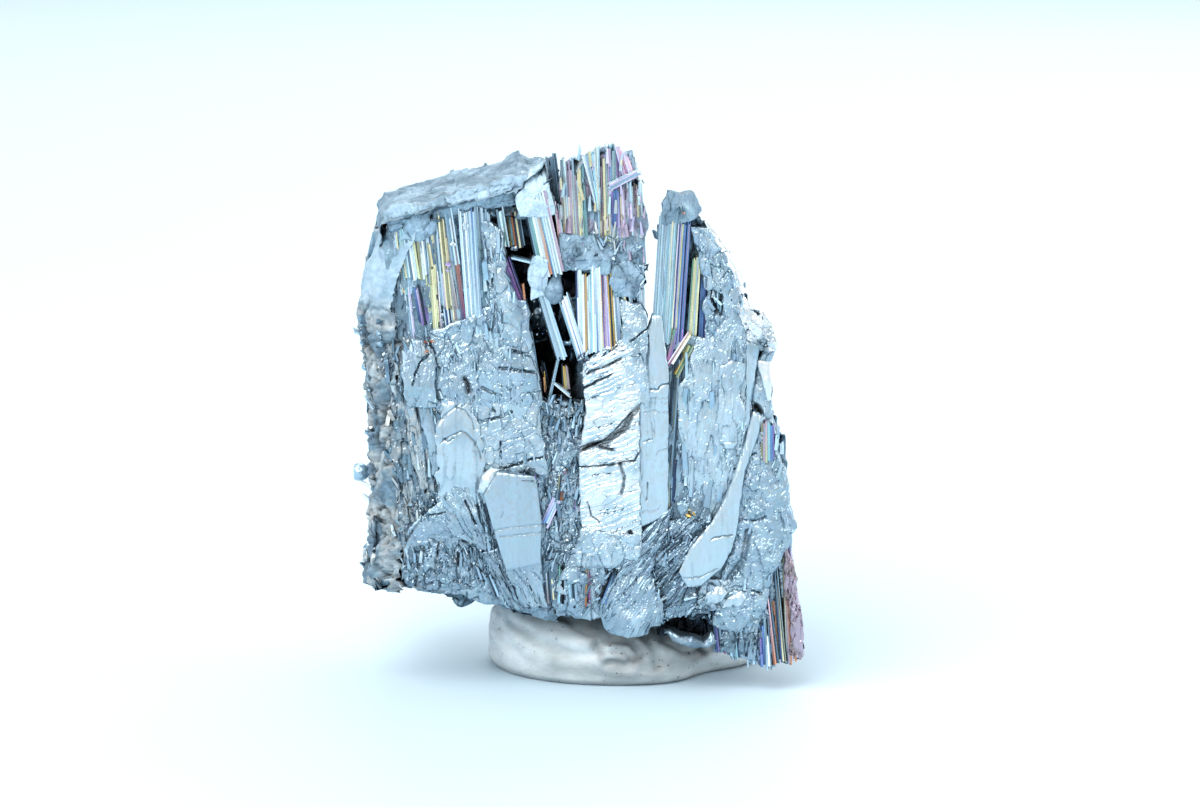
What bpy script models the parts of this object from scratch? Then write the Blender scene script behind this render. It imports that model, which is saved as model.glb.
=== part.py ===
"""Stibnite specimen standing on a lump of mounting putty, as two solids.

stibnite_cluster is one broken block of steel-grey crystals that grew together: tall flat-faced
blades that fan slightly as they rise, an open dark cleft and a deep notch between them, ledges
where blades snapped, and a grainy druse on the left flank. putty_lump is the soft oval holder
that the block is pressed into. Lengths below are millimetres; the scene is in metres, +Z up,
with the table at Z = 0 and the front facing -Y.
"""

import math
import random
from dataclasses import dataclass
from enum import Enum

import bmesh
import bpy
from mathutils import Matrix, Vector

MM = 0.001
SEED = 41

Point = tuple[float, float]
Line = tuple[Point, ...]
Place = tuple[float, float, float]

# The front of the block is close to a plane that leans back as it rises.
FACE_Y = -6.0
FACE_Z = 6.0
FACE_LEAN = math.radians(3.0)
CORE_INSET = 0.9
CHAMFER_FROM = 1.6

# Where the broken outline runs, as (height, x) from low to high.
LEFT_EDGE = ((6.0, -17.9), (8.6, -17.4), (11.7, -16.9), (16.5, -17.8), (21.6, -17.7), (25.0, -18.2),
             (29.0, -18.0), (32.0, -17.1), (34.8, -16.5))
RIGHT_EDGE = ((4.0, 13.2), (7.5, 14.0), (10.6, 14.0), (14.5, 13.4), (18.4, 13.2), (22.8, 12.4), (25.2, 12.6),
              (27.3, 11.8), (29.6, 10.6), (31.5, 9.6), (34.7, 7.4))
# How high and how low the hidden back reaches, as (x, height) from left to right.
BACK_TOP = ((-17.0, 34.9), (-12.2, 36.8), (-7.6, 38.1), (-4.6, 38.6), (-3.4, 33.6), (2.6, 32.0), (3.2, 25.0),
            (4.4, 25.0), (5.2, 29.5), (8.0, 28.0), (12.5, 21.0))
BACK_BOTTOM = ((-17.0, 8.2), (-10.0, 7.4), (-6.0, 6.8), (6.0, 6.0), (13.0, 6.5))
BACK_Y = 6.8
# The rows of broken columns over the back and down both flanks.
BACK_COLUMNS = 15
BACK_FROM = -15.9
BACK_SPACING = 1.95
BACK_SHORTFALL = (0.2, 1.1)
FLANK_COLUMNS = 4
FLANK_FROM = -3.1
FLANK_SPACING = 2.9
HIDDEN_DEPTH = 3.2
SHORTEST_LENGTH = 1.5

PUTTY_GAP = 0.3
PUTTY_CENTRE = (1.2, 0.9)
PUTTY_HALF_LENGTH = 9.9
PUTTY_HALF_DEPTH = 6.8
# Height on the lump, and how much of its outline it reaches there.
PUTTY_PROFILE = ((0.0, 0.93), (0.5, 0.985), (1.6, 1.0), (3.0, 0.99), (4.2, 0.95), (5.1, 0.86), (5.8, 0.68),
                 (6.15, 0.36))


class Tip(Enum):
    """How a blade ends at its head, as the slope of its cut from left to right."""

    FLAT = 0.1
    RISE_LEFT = -0.55
    RISE_RIGHT = 0.56
    CHISEL = 0.3


@dataclass(frozen=True)
class Blade:
    """A flat-faced crystal on the front: foot and head are (x, z) on the leaning face.

    proud is how far its face stands ahead of the leaning face (behind it where negative),
    width is (at foot, at head), and turn spins it about its own length, in degrees.
    """

    foot: Point
    head: Point
    width: Point
    proud: float
    depth: float
    turn: float
    tip: Tip


@dataclass(frozen=True)
class Section:
    """One level of a core block: corners by x at the front and back, and how much the back drops."""

    z: float
    front_x: Point
    back_x: Point
    back_y: float
    rise: float = 0.0
    drop: float = 0.0


# Thin iridescent columns of the left panel, their heads leaning left under the rough slab.
LEFT_PANEL = (
    Blade((-13.65, 30.8), (-14.5, 34.85), (1.3, 1.3), 0.1, 3, -4, Tip.FLAT),
    Blade((-12.55, 30.95), (-13.25, 33.5), (1.1, 0.9), -0.15, 3, 8, Tip.FLAT),
    Blade((-11.65, 24.75), (-12.35, 35.45), (0.75, 0.65), 0.05, 3, -10, Tip.RISE_LEFT),
    Blade((-10.6, 23.75), (-11.55, 35.75), (0.9, 0.8), 0.2, 3, 6, Tip.RISE_RIGHT),
    Blade((-10.15, 26.8), (-10.9, 35.9), (0.65, 0.65), 0.05, 3, -12, Tip.FLAT),
    Blade((-9.55, 26.4), (-10.25, 36), (0.6, 0.6), 0.3, 3, 10, Tip.RISE_LEFT),
    Blade((-8.9, 25.8), (-9.6, 36.1), (0.9, 0.9), 0.5, 3.2, -3, Tip.FLAT),
    Blade((-8.4, 29.8), (-8.85, 36.05), (0.75, 0.75), 0.25, 3, 14, Tip.FLAT),
    Blade((-12.9, 25.7), (-14.05, 30.2), (1.3, 1.2), -0.2, 3, -8, Tip.CHISEL),
    Blade((-14.35, 25.75), (-15.2, 30.25), (1.3, 1.2), -0.45, 3, -14, Tip.CHISEL),
    Blade((-15.25, 29), (-15.7, 34.3), (1.2, 1.05), -0.8, 3, -24, Tip.RISE_RIGHT),
)
# Rough silver plates between the left panel and the cleft.
SHOULDER = (
    Blade((-7.15, 26.9), (-8, 34.05), (1.9, 1.45), 0.55, 3.4, 5, Tip.RISE_LEFT),
    Blade((-6.05, 25.9), (-6.75, 32.05), (1.1, 0.9), 0.65, 3.2, -6, Tip.RISE_RIGHT),
    Blade((-5.5, 28.95), (-6.85, 32.4), (0.6, 0.9), 0.15, 3, 32, Tip.FLAT),
    Blade((-6.45, 33), (-6.9, 36.45), (1.4, 1.3), -0.6, 3, -5, Tip.CHISEL),
    Blade((-6.35, 21.55), (-7.5, 27.9), (2.95, 2.2), 0.45, 3.4, -4, Tip.CHISEL),
    Blade((-4.75, 23.3), (-5.25, 26.85), (0.6, 0.6), 0.2, 4, 26, Tip.RISE_LEFT),
    Blade((-5.65, 16.6), (-6, 24.3), (2.65, 2.5), 0.8, 3.6, 5, Tip.RISE_RIGHT),
    Blade((-7.95, 16.4), (-8.4, 22.2), (2.2, 1.9), 0.6, 3.4, -7, Tip.CHISEL),
    Blade((-9.3, 21.25), (-9.35, 25.9), (1.6, 1.45), 0.35, 3.2, 6, Tip.RISE_LEFT),
)
# The pale leaning blade, the lump at its foot and the two slanting prisms beside the cleft.
LEANING_BLADE = (
    Blade((-3.7, 31.2), (-4.85, 38.8), (1.9, 1.9), 0.95, 2.6, -5, Tip.RISE_RIGHT),
    Blade((-3.25, 34.55), (-3.65, 39.4), (0.75, 0.75), -2, 3, 6, Tip.FLAT),
    Blade((-4.3, 29.85), (-4.55, 32.55), (1.3, 1.1), 1.15, 3, 9, Tip.CHISEL),
    Blade((-3.35, 29.15), (-3.5, 31.6), (1.3, 0.95), 0.55, 3.4, -14, Tip.RISE_LEFT),
    Blade((-2.75, 25.45), (-4.5, 30.8), (0.8, 0.65), 1.05, 2.6, 10, Tip.FLAT),
    Blade((-1.55, 25.35), (-2.75, 29.6), (0.65, 0.75), 0.85, 2.8, -16, Tip.RISE_RIGHT),
)
# Rods that stand back inside the dark cleft.
CAVITY_RODS = (
    Blade((-3.75, 21.5), (-4.2, 23.75), (0.45, 0.35), -1.2, 2.5, 14, Tip.FLAT),
    Blade((-2.5, 21.65), (-2.65, 24.1), (0.6, 0.45), -0.5, 3, -10, Tip.FLAT),
    Blade((-2.95, 16.05), (-3.25, 21.95), (2.2, 1.6), -0.2, 4, 6, Tip.CHISEL),
    Blade((-1.9, 25), (-2.2, 30.65), (0.75, 0.65), -1.6, 3, 20, Tip.CHISEL),
)
# The bundle of coloured columns in the central tower.
TOWER = (
    Blade((-1.8, 32.7), (-2.3, 39.7), (1.3, 1.1), 0.2, 3.4, -6, Tip.CHISEL),
    Blade((-1, 32.85), (-1.5, 39.7), (0.75, 0.65), 0.35, 3.2, 10, Tip.FLAT),
    Blade((-0.2, 35.55), (-0.7, 40.25), (0.5, 1.45), 0.7, 2, -4, Tip.RISE_RIGHT),
    Blade((-0.05, 32.35), (-0.2, 40.35), (0.95, 0.9), 0.15, 3.4, 6, Tip.RISE_RIGHT),
    Blade((0.65, 32.4), (0.45, 40.65), (0.75, 0.8), 0.45, 3.2, -8, Tip.FLAT),
    Blade((1.45, 31.85), (1.1, 40.55), (0.95, 0.9), 0.25, 3.4, 8, Tip.RISE_LEFT),
    Blade((2.25, 37.15), (1.6, 40.15), (1.45, 0.9), 0.6, 2.4, -10, Tip.CHISEL),
    Blade((2.4, 31.8), (2.05, 37.5), (1.05, 0.95), 0.15, 3.2, 5, Tip.RISE_LEFT),
    Blade((3.15, 31.8), (2.7, 38.5), (0.9, 0.75), 0.05, 3.4, 14, Tip.CHISEL),
)
# The bright columns below the tower and the wall of the notch.
BRIGHT_COLUMNS = (
    Blade((-1.45, 25.75), (-1.6, 32.2), (0.5, 0.45), 0.75, 3.2, -12, Tip.FLAT),
    Blade((-0.8, 25.7), (-1, 31.5), (0.75, 0.65), 0.95, 3.2, 6, Tip.FLAT),
    Blade((-0.15, 25.9), (-0.3, 33), (0.8, 0.75), 1.2, 3.4, -3, Tip.FLAT),
    Blade((0.45, 25.85), (0.2, 31.95), (0.6, 0.5), 0.9, 3.2, 12, Tip.FLAT),
    Blade((0.95, 25.75), (0.75, 31.55), (0.6, 0.5), 1.1, 3.2, -8, Tip.FLAT),
    Blade((1.55, 27.25), (1.25, 30.75), (0.6, 0.6), 0.85, 3.2, 5, Tip.FLAT),
    Blade((2.2, 27.8), (1.95, 30.45), (0.9, 0.75), 0.65, 3.2, -6, Tip.RISE_LEFT),
    Blade((3, 26.65), (2.9, 34.45), (0.65, 0.6), 0.15, 3.4, 10, Tip.FLAT),
)
# The kinked cleavage plate, the wrinkled column above it and the long smooth strip.
CLEAVAGE = (
    Blade((0.75, 11.05), (0.75, 24.25), (4.25, 3.7), 1.35, 4, -3, Tip.RISE_RIGHT),
    Blade((2.5, 21.65), (2.05, 29.4), (1.75, 1.2), 0.95, 3.6, 7, Tip.CHISEL),
    Blade((3.9, 12.2), (4.1, 27.95), (1.75, 0.95), 0.8, 3.6, 3, Tip.CHISEL),
)
# The right tower: striated prisms, its rough cap and the falling crest.
RIGHT_TOWER = (
    Blade((4.55, 26.45), (5, 36.75), (1.45, 1.25), 0.5, 3.6, -9, Tip.CHISEL),
    Blade((5.65, 26.1), (6.15, 35.65), (1.2, 1.1), 0.35, 3.6, 8, Tip.RISE_LEFT),
    Blade((6.65, 25.7), (7.05, 32.4), (0.9, 0.8), 0.15, 3.4, -5, Tip.FLAT),
    Blade((7.55, 26.05), (7.65, 32.4), (0.75, 0.65), 0.05, 3.4, 16, Tip.RISE_LEFT),
    Blade((7.55, 32.7), (7.1, 35.5), (1.45, 1.2), 0.25, 3.4, 12, Tip.CHISEL),
    Blade((8.95, 25.7), (8.15, 33.85), (2.8, 1.3), 0.15, 3.6, 8, Tip.CHISEL),
    Blade((11.3, 25.35), (9.8, 31.1), (2.5, 1.3), -0.5, 3.6, 20, Tip.CHISEL),
    Blade((5.05, 24.6), (6.55, 27), (0.45, 0.45), 0.75, 1.8, -10, Tip.FLAT),
    Blade((5.55, 23.85), (6.8, 25.75), (0.35, 0.45), 0.7, 1.8, 14, Tip.FLAT),
)
# The fibrous plate, the prism lying on it and the rods in the groove beside it.
FIBROUS = (
    Blade((5.05, 13), (5.7, 25.25), (0.9, 0.75), -0.4, 3.2, -14, Tip.FLAT),
    Blade((7.2, 13.9), (7.6, 26.1), (2.8, 3.25), 0.55, 3.6, 3, Tip.CHISEL),
    Blade((9.55, 18.55), (9.7, 24.9), (1.3, 1.75), 0.85, 3.4, -5, Tip.FLAT),
    Blade((10.85, 21), (11.3, 26), (0.45, 1.05), 0.6, 3.2, 10, Tip.FLAT),
    Blade((12.35, 19.95), (12, 25.6), (1.3, 1.75), -0.15, 3.6, 16, Tip.CHISEL),
)
# The long pale face that bends as it falls, as three overlapping lengths.
CURVED_FACE = (
    Blade((9.45, 14.45), (11.4, 21.7), (1.3, 0.8), 1.15, 3.4, -6, Tip.CHISEL),
    Blade((8.3, 11.05), (9.75, 15.05), (2.2, 1.3), 1.3, 3.6, -2, Tip.FLAT),
    Blade((6.6, 8.8), (8.3, 12.1), (1.9, 2.5), 1.35, 3.6, 4, Tip.FLAT),
)
# The rumpled surface down the right side.
RUMPLED = (
    Blade((10.8, 6.7), (12.15, 18.4), (3.4, 2.5), 0.9, 4, 3, Tip.RISE_LEFT),
    Blade((13, 9.6), (13.35, 19.75), (1.9, 1.45), 0.35, 4, 14, Tip.CHISEL),
    Blade((12.3, 17.55), (12.2, 20.65), (1.2, 1.2), 1.15, 3, -4, Tip.FLAT),
    Blade((13.85, 10.65), (13.8, 15.15), (1.3, 1.05), -0.25, 4, 18, Tip.CHISEL),
)
# The coloured fan at the lower right corner.
FAN = (
    Blade((12.6, 2.05), (12.3, 8.25), (0.65, 0.45), 1, 3, -8, Tip.FLAT),
    Blade((13.55, 2.35), (12.75, 10), (0.8, 0.6), 0.75, 3.2, 6, Tip.FLAT),
    Blade((14.55, 2.05), (13.7, 10.95), (0.95, 0.6), 0.45, 3.4, -5, Tip.RISE_RIGHT),
    Blade((13.8, 2.9), (13.2, 9.7), (2.2, 1.5), 0.15, 3, 4, Tip.RISE_LEFT),
    Blade((15.1, 2.85), (14.5, 9.35), (0.6, 0.5), 0.05, 3.4, 14, Tip.RISE_LEFT),
    Blade((11.85, 2.45), (11.6, 5.8), (0.65, 0.65), 0.8, 3.2, 9, Tip.RISE_RIGHT),
)
# Small dark prisms that hang beside the fan.
DARK_PRISMS = (
    Blade((8.9, 3.15), (8.6, 6.75), (1.05, 0.95), 0.5, 3.2, -12, Tip.FLAT),
    Blade((10.25, 2.7), (9.9, 6.05), (1.2, 1.1), 0.65, 3.2, 7, Tip.RISE_LEFT),
    Blade((10.0, 3.3), (10.0, 7), (3.2, 3.2), 0.1, 3, -3, Tip.FLAT),
    Blade((11.2, 2.2), (11.05, 6), (0.75, 0.75), 0.45, 3.2, -6, Tip.RISE_RIGHT),
)
# The broad smooth blade at the lower front and the steps beside it.
SMOOTH_BLADE = (
    Blade((-5.15, 7.15), (-6.3, 17.1), (2.05, 2.95), 1.95, 5, -5, Tip.FLAT),
    Blade((-6.8, 7.15), (-7.5, 11.35), (1.6, 1.2), 1.3, 4, 9, Tip.CHISEL),
    Blade((-7.5, 9.2), (-8.5, 14.9), (0.9, 0.8), 1.2, 3.6, -8, Tip.RISE_LEFT),
)
# Smooth stepped plates with rounded heads.
DOME_PLATES = (
    Blade((-12.8, 21.65), (-13.25, 26.3), (2.5, 1.6), 0.9, 3.2, -5, Tip.CHISEL),
    Blade((-10.3, 19.45), (-10.4, 21.9), (2.5, 1.3), 1.05, 3.4, 4, Tip.CHISEL),
    Blade((-10.05, 15.6), (-10.25, 19.65), (2.95, 1.9), 0.95, 3.6, -4, Tip.CHISEL),
    Blade((-12, 16.4), (-12.9, 22.05), (0.9, 0.8), 0.6, 3.2, 10, Tip.FLAT),
    Blade((-13.3, 16.35), (-14.05, 22), (1.05, 0.95), 0.35, 3.2, -9, Tip.RISE_RIGHT),
    Blade((-9.55, 11.55), (-9.55, 15.75), (2.5, 2.05), 1.05, 3.6, 6, Tip.RISE_LEFT),
    Blade((-11.8, 13.55), (-12.2, 16.65), (1.9, 1.6), 0.5, 3.4, -8, Tip.CHISEL),
)
# The broken lower left corner and the first rods of the flank.
LOWER_LEFT = (
    Blade((-12.7, 7.35), (-12.8, 13), (2.95, 1.9), 0.4, 3.6, -4, Tip.CHISEL),
    Blade((-10.2, 6.9), (-10.55, 11.85), (2.2, 1.75), 0.35, 3.6, 6, Tip.CHISEL),
    Blade((-8.2, 7.15), (-9, 11.2), (1.6, 1.2), 0.8, 3.4, -8, Tip.RISE_RIGHT),
    Blade((-14.9, 7.85), (-14.6, 14.3), (1.75, 1.3), 0.05, 3.6, 10, Tip.CHISEL),
    Blade((-15.05, 10.75), (-15.6, 22.85), (1.3, 1.05), -0.45, 3.2, -12, Tip.CHISEL),
    Blade((-15.05, 23.05), (-15.3, 26.15), (1.05, 0.75), -0.2, 3, 12, Tip.CHISEL),
    Blade((-16.5, 7.5), (-16.55, 13.55), (1.6, 1.3), -0.7, 3.6, -16, Tip.CHISEL),
)
# Rods and stubs in the grainy channel beside the broad blade.
CHANNEL = (
    Blade((-2.5, 6.45), (-2.8, 16.2), (0.95, 0.9), -0.15, 3.4, 12, Tip.RISE_LEFT),
    Blade((-3.6, 10.6), (-3.75, 16), (0.9, 0.8), 0.25, 3.4, -10, Tip.CHISEL),
    Blade((-1.7, 10.85), (-2, 16.1), (0.75, 0.6), 0.55, 3.4, 6, Tip.RISE_RIGHT),
    Blade((-3.7, 6.35), (-4, 10.85), (0.9, 0.8), 0.55, 3.4, 8, Tip.RISE_LEFT),
    Blade((-2, 6.4), (-2.2, 10.9), (0.9, 0.75), 0.85, 3.4, -9, Tip.CHISEL),
    Blade((-0.65, 6.2), (-0.9, 11.15), (0.9, 0.65), 0.65, 3.4, 5, Tip.RISE_RIGHT),
)
# Grainy masses along the foot of the block.
BASE = (
    Blade((1.9, 4.95), (2.3, 9.45), (3.55, 2.2), 1, 4, -4, Tip.CHISEL),
    Blade((0.45, 5.75), (0.2, 9.95), (1.2, 0.9), 0.6, 3.6, 9, Tip.CHISEL),
    Blade((3.85, 8.35), (6.6, 13), (2.2, 1.75), 0.7, 4, 6, Tip.CHISEL),
    Blade((5.35, 6), (5.6, 10.2), (2.95, 2.65), 0.45, 4, -6, Tip.CHISEL),
    Blade((-1.1, 5.25), (-1.25, 8.85), (2.5, 1.9), 0.45, 4, 7, Tip.CHISEL),
    Blade((7.85, 6.55), (8.25, 9.1), (2.5, 2.05), 0.75, 3.6, -8, Tip.CHISEL),
)
FRONT_GROUPS = (LEFT_PANEL, SHOULDER, LEANING_BLADE, CAVITY_RODS, TOWER, BRIGHT_COLUMNS, CLEAVAGE,
                RIGHT_TOWER, FIBROUS, CURVED_FACE, RUMPLED, FAN, DARK_PRISMS, SMOOTH_BLADE,
                DOME_PLATES, LOWER_LEFT, CHANNEL, BASE)

# The mass behind the blades: a base block, the left slab with its flat broken top, the central
# tower and the right tower. The notch is the space left between the two towers.
BASE_BLOCK = (
    Section(5.0, (-5.5, 9.5), (-5.0, 9.0), 4.0),
    Section(7.6, (-14.3, 12.0), (-15.3, 11.6), 5.4),
    Section(12.0, (-14.8, 12.4), (-16.2, 12.2), 5.7),
    Section(18.0, (-15.0, 12.6), (-16.9, 12.2), 5.8),
    Section(24.0, (-14.8, 11.6), (-17.0, 11.4), 5.7),
    Section(27.0, (-14.6, 10.6), (-16.8, 10.4), 5.6, drop=3.2),
)
SLAB_BLOCK = (
    Section(23.0, (-14.6, -6.0), (-16.9, -4.6), 5.8),
    Section(30.0, (-14.6, -6.4), (-16.8, -4.8), 6.2),
    Section(34.0, (-14.7, -5.6), (-16.6, -4.6), 6.7),
    Section(34.8, (-14.9, -5.4), (-16.2, -5.2), 6.9, rise=1.9, drop=-1.1),
)
SLAB_PEAK = (
    Section(31.0, (-8.0, -3.8), (-9.0, -4.2), 6.4),
    Section(37.4, (-6.8, -3.5), (-7.4, -4.6), 6.8, rise=1.3, drop=-0.3),
)
TOWER_BLOCK = (
    Section(23.0, (-3.4, 3.1), (-4.0, 3.0), 5.4),
    Section(30.0, (-2.8, 3.2), (-3.0, 2.8), 5.0),
    Section(36.0, (-2.6, 2.9), (-2.4, 2.4), 2.4),
    Section(39.4, (-1.5, 1.6), (-1.2, 1.2), -1.4),
)
RIGHT_BLOCK = (
    Section(20.0, (4.3, 12.0), (4.0, 11.8), 5.6),
    Section(27.0, (4.3, 11.4), (4.6, 11.0), 4.8),
    Section(31.5, (4.4, 9.0), (5.0, 8.6), 3.4),
    Section(35.0, (4.8, 6.8), (5.2, 6.6), -0.4),
)

# Hollows as outlines of (x, z) on the face, and how deep each goes behind it.
CLEFT = ((-6.5, 32.0), (-5.6, 32.4), (-1.7, 31.2), (-1.7, 27.0), (-2.8, 21.2), (-3.9, 21.0), (-5.9, 27.0))
CLEFT_DEPTH = 5.5
SLOT = ((-7.3, 33.2), (-5.4, 33.2), (-5.2, 32.1), (-7.2, 32.2))
SLOT_DEPTH = 2.6
EYE_CENTRE = (6.5, -6.6, 4.75)
EYE_RADII = (1.55, 2.0, 0.5)


@dataclass(frozen=True)
class StepRow:
    """Short crystals behind a tower: their x, their y, the height of the first and the fall to each next."""

    places: tuple[float, ...]
    y: float
    top: float
    fall: float


STEP_ROWS = (
    StepRow((-2.0, -0.4, 1.2, 2.4), 3.0, 34.4, 0.0),
    StepRow((-1.5, 0.0, 1.4), 0.4, 37.3, 0.0),
    StepRow((5.6, 7.1, 8.6), 3.6, 31.4, 0.7),
    StepRow((5.7, 7.0), 1.0, 33.2, 0.9),
)


@dataclass(frozen=True)
class LumpRow:
    """Rough lumps on the front between two (x, z) ends."""

    name: str
    start: Point
    stop: Point
    count: int
    size: float


LUMP_ROWS = (
    LumpRow("lip", (-13.6, 35.3), (-6.8, 36.3), 5, 0.7),
    LumpRow("waist", (-2.3, 32.2), (3.0, 31.3), 6, 0.65),
    LumpRow("cap", (5.0, 35.9), (6.4, 35.8), 3, 0.55),
    LumpRow("crest", (7.6, 33.6), (11.9, 26.8), 6, 0.85),
    LumpRow("shelf", (-1.4, 25.3), (1.2, 25.0), 4, 0.6),
    LumpRow("foot_left", (-16.0, 8.0), (-8.6, 7.3), 5, 0.95),
    LumpRow("foot_mid", (-7.0, 7.0), (4.0, 5.2), 7, 0.95),
    LumpRow("foot_right", (5.2, 6.4), (9.4, 4.6), 4, 0.8),
)

# The druse: loose grains between two heights, then its two large beads as (centre, radii).
DRUSE_GRAINS = 20
DRUSE_HEIGHTS = (9.0, 29.0)
DRUSE_BEAD = ((-17.95, 4.6, 14.2), (0.85, 0.75, 0.8))
FOOT_BEAD = ((-17.6, 3.6, 6.9), (1.1, 1.2, 0.95))
# Low ledges on the slab's top, which climbs to the right and to the back.
LEDGES = 6
LEDGE_FROM = (-13.6, -0.4)
LEDGE_SPACING = (3.6, 4.0)
LEDGE_Z = 34.75
LEDGE_CLIMB = (0.2, 0.09)


def face_y(z: float, proud: float = 0.0) -> float:
    """The Y of the leaning front at height z, for something standing proud of it."""
    return FACE_Y - proud + (z - FACE_Z) * math.tan(FACE_LEAN)


def along(points: Line, at: float) -> float:
    """Reads a line of (position, value) points, straight between them."""
    for (a, low), (b, high) in zip(points, points[1:]):
        if at <= b:
            share = max(0.0, (at - a) / (b - a))
            return low + (high - low) * share
    return points[-1][1]


def mesh_object(name: str, corners: list[Vector], faces: list[tuple[int, ...]],
                collection: bpy.types.Collection) -> bpy.types.Object:
    """A closed mesh from corners in millimetres, with its faces turned outward."""
    mesh = bpy.data.meshes.new(name)
    shape = bmesh.new()
    made = [shape.verts.new(Vector(corner) * MM) for corner in corners]
    for face in faces:
        shape.faces.new([made[i] for i in face])
    bmesh.ops.recalc_face_normals(shape, faces=shape.faces)
    shape.to_mesh(mesh)
    shape.free()
    obj = bpy.data.objects.new(name, mesh)
    collection.objects.link(obj)
    return obj


def loft(name: str, rings: list[list[Vector | Place]], collection: bpy.types.Collection) -> bpy.types.Object:
    """Skins a stack of rings with equal corner counts and closes both ends."""
    count = len(rings[0])
    corners = [corner for ring in rings for corner in ring]
    faces = [tuple(range(count)), tuple(range(len(corners) - count, len(corners)))]
    for level in range(len(rings) - 1):
        for i in range(count):
            a = level * count + i
            b = level * count + (i + 1) % count
            faces.append((a, b, b + count, a + count))
    return mesh_object(name, corners, faces, collection)


def helper_collection(name: str) -> bpy.types.Collection:
    """A collection of shapes that only feed a Boolean."""
    collection = bpy.data.collections.new(name)
    bpy.context.scene.collection.children.link(collection)
    return collection


def as_helper(obj: bpy.types.Object) -> bpy.types.Object:
    """Keeps a shape out of renders and shows it as a wire."""
    obj.hide_render = True
    obj.display_type = "WIRE"
    return obj


def prism_rings(foot: Vector, head: Vector, facing: Vector, width: Point, depth: float, turn: float, tip: Tip,
                chance: random.Random, chamfered: bool = True) -> list[list[Vector]]:
    """The rings of one crystal whose front face passes through foot and head."""
    axis = (head - foot).normalized()
    length = (head - foot).length
    spin = Matrix.Rotation(math.radians(turn), 3, axis)
    out = spin @ (facing - axis * facing.dot(axis)).normalized()
    side = axis.cross(out)
    slope = tip.value
    back_fall = chance.uniform(0.1, 0.35)

    def ring(at: float, wide: float, shrink: float = 1.0, slanted: bool = False) -> list[Vector]:
        chamfer = min(0.24 * wide, 0.28) * shrink
        half = 0.5 * wide * shrink
        outline = ((-half, -depth), (half, -depth), (half, 0.0), (-half, 0.0))
        if chamfered:
            outline = (*outline[:2], (half, -chamfer), (half - chamfer, 0.0),
                       (chamfer - half, 0.0), (-half, -chamfer))
        centre = foot + axis * at
        corners = []
        for across, inward in outline:
            lift = slope * across + back_fall * inward if slanted else 0.0
            corners.append(centre + side * across + out * (inward * shrink) + axis * lift)
        return corners

    bevel = min(0.5 * width[1], 0.45 * length)
    neck = width[0] + (width[1] - width[0]) * 0.9
    if tip is Tip.CHISEL:
        return [ring(0.0, width[0]), ring(length - bevel, neck, slanted=True),
                ring(length, width[1], 0.45, True)]
    return [ring(0.0, width[0]), ring(length, width[1], slanted=True)]


def crystal(name: str, foot: Vector, head: Vector, facing: Vector, width: Point, depth: float, turn: float,
            tip: Tip, chance: random.Random, collection: bpy.types.Collection,
            chamfered: bool = True) -> bpy.types.Object:
    rings = prism_rings(foot, head, facing, width, depth, turn, tip, chance, chamfered)
    return as_helper(loft(name, rings, collection))


def front_crystals(chance: random.Random, collection: bpy.types.Collection) -> None:
    """The blades that can be told apart on the front."""
    facing = Vector((0.0, -math.cos(FACE_LEAN), math.sin(FACE_LEAN)))
    for group, blades in enumerate(FRONT_GROUPS):
        for index, blade in enumerate(blades):
            proud = blade.proud + chance.uniform(-0.03, 0.03)
            foot = Vector((blade.foot[0], face_y(blade.foot[1], proud), blade.foot[1]))
            head = Vector((blade.head[0], face_y(blade.head[1], proud), blade.head[1]))
            crystal(f"front_{group}_{index}", foot, head, facing, blade.width, blade.depth,
                    blade.turn, blade.tip, chance, collection, max(blade.width) > CHAMFER_FROM)


def broken_column(name: str, low: Vector, high: Vector, facing: Vector, width: float, lengths: int,
                  chance: random.Random, collection: bpy.types.Collection) -> None:
    """A tall crystal of a hidden side, snapped into lengths that stand proud by differing amounts."""
    ends = [(index + chance.uniform(-0.25, 0.25)) / lengths for index in range(lengths)] + [1.0]
    for index, (start, stop) in enumerate(zip(ends, ends[1:])):
        proud = facing * chance.uniform(-0.6, 0.35)
        foot = low.lerp(high, max(0.0, start - 0.06)) + proud
        head = low.lerp(high, stop) + proud
        if (head - foot).length < SHORTEST_LENGTH:
            continue
        wide = width * chance.uniform(0.85, 1.15)
        crystal(f"{name}_{index}", foot, head, facing, (wide, wide * chance.uniform(0.6, 0.9)), HIDDEN_DEPTH,
                chance.uniform(-22.0, 22.0), chance.choice(list(Tip)), chance, collection, chamfered=False)


def back_crystals(chance: random.Random, collection: bpy.types.Collection) -> None:
    """Rows of broken crystals across the back, rising no higher than its outline."""
    for index in range(BACK_COLUMNS):
        x = BACK_FROM + index * BACK_SPACING
        lean = math.radians(0.5 * x)
        low = Vector((x - 0.8, BACK_Y + chance.uniform(-0.5, 0.3), along(BACK_BOTTOM, x)))
        top = along(BACK_TOP, x) - chance.uniform(*BACK_SHORTFALL)
        high = Vector((x + (top - low.z) * math.sin(lean) * 0.3, low.y, top))
        broken_column(f"back_{index}", low, high, Vector((0.0, 1.0, 0.1)), 2.5, 2, chance, collection)


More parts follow.
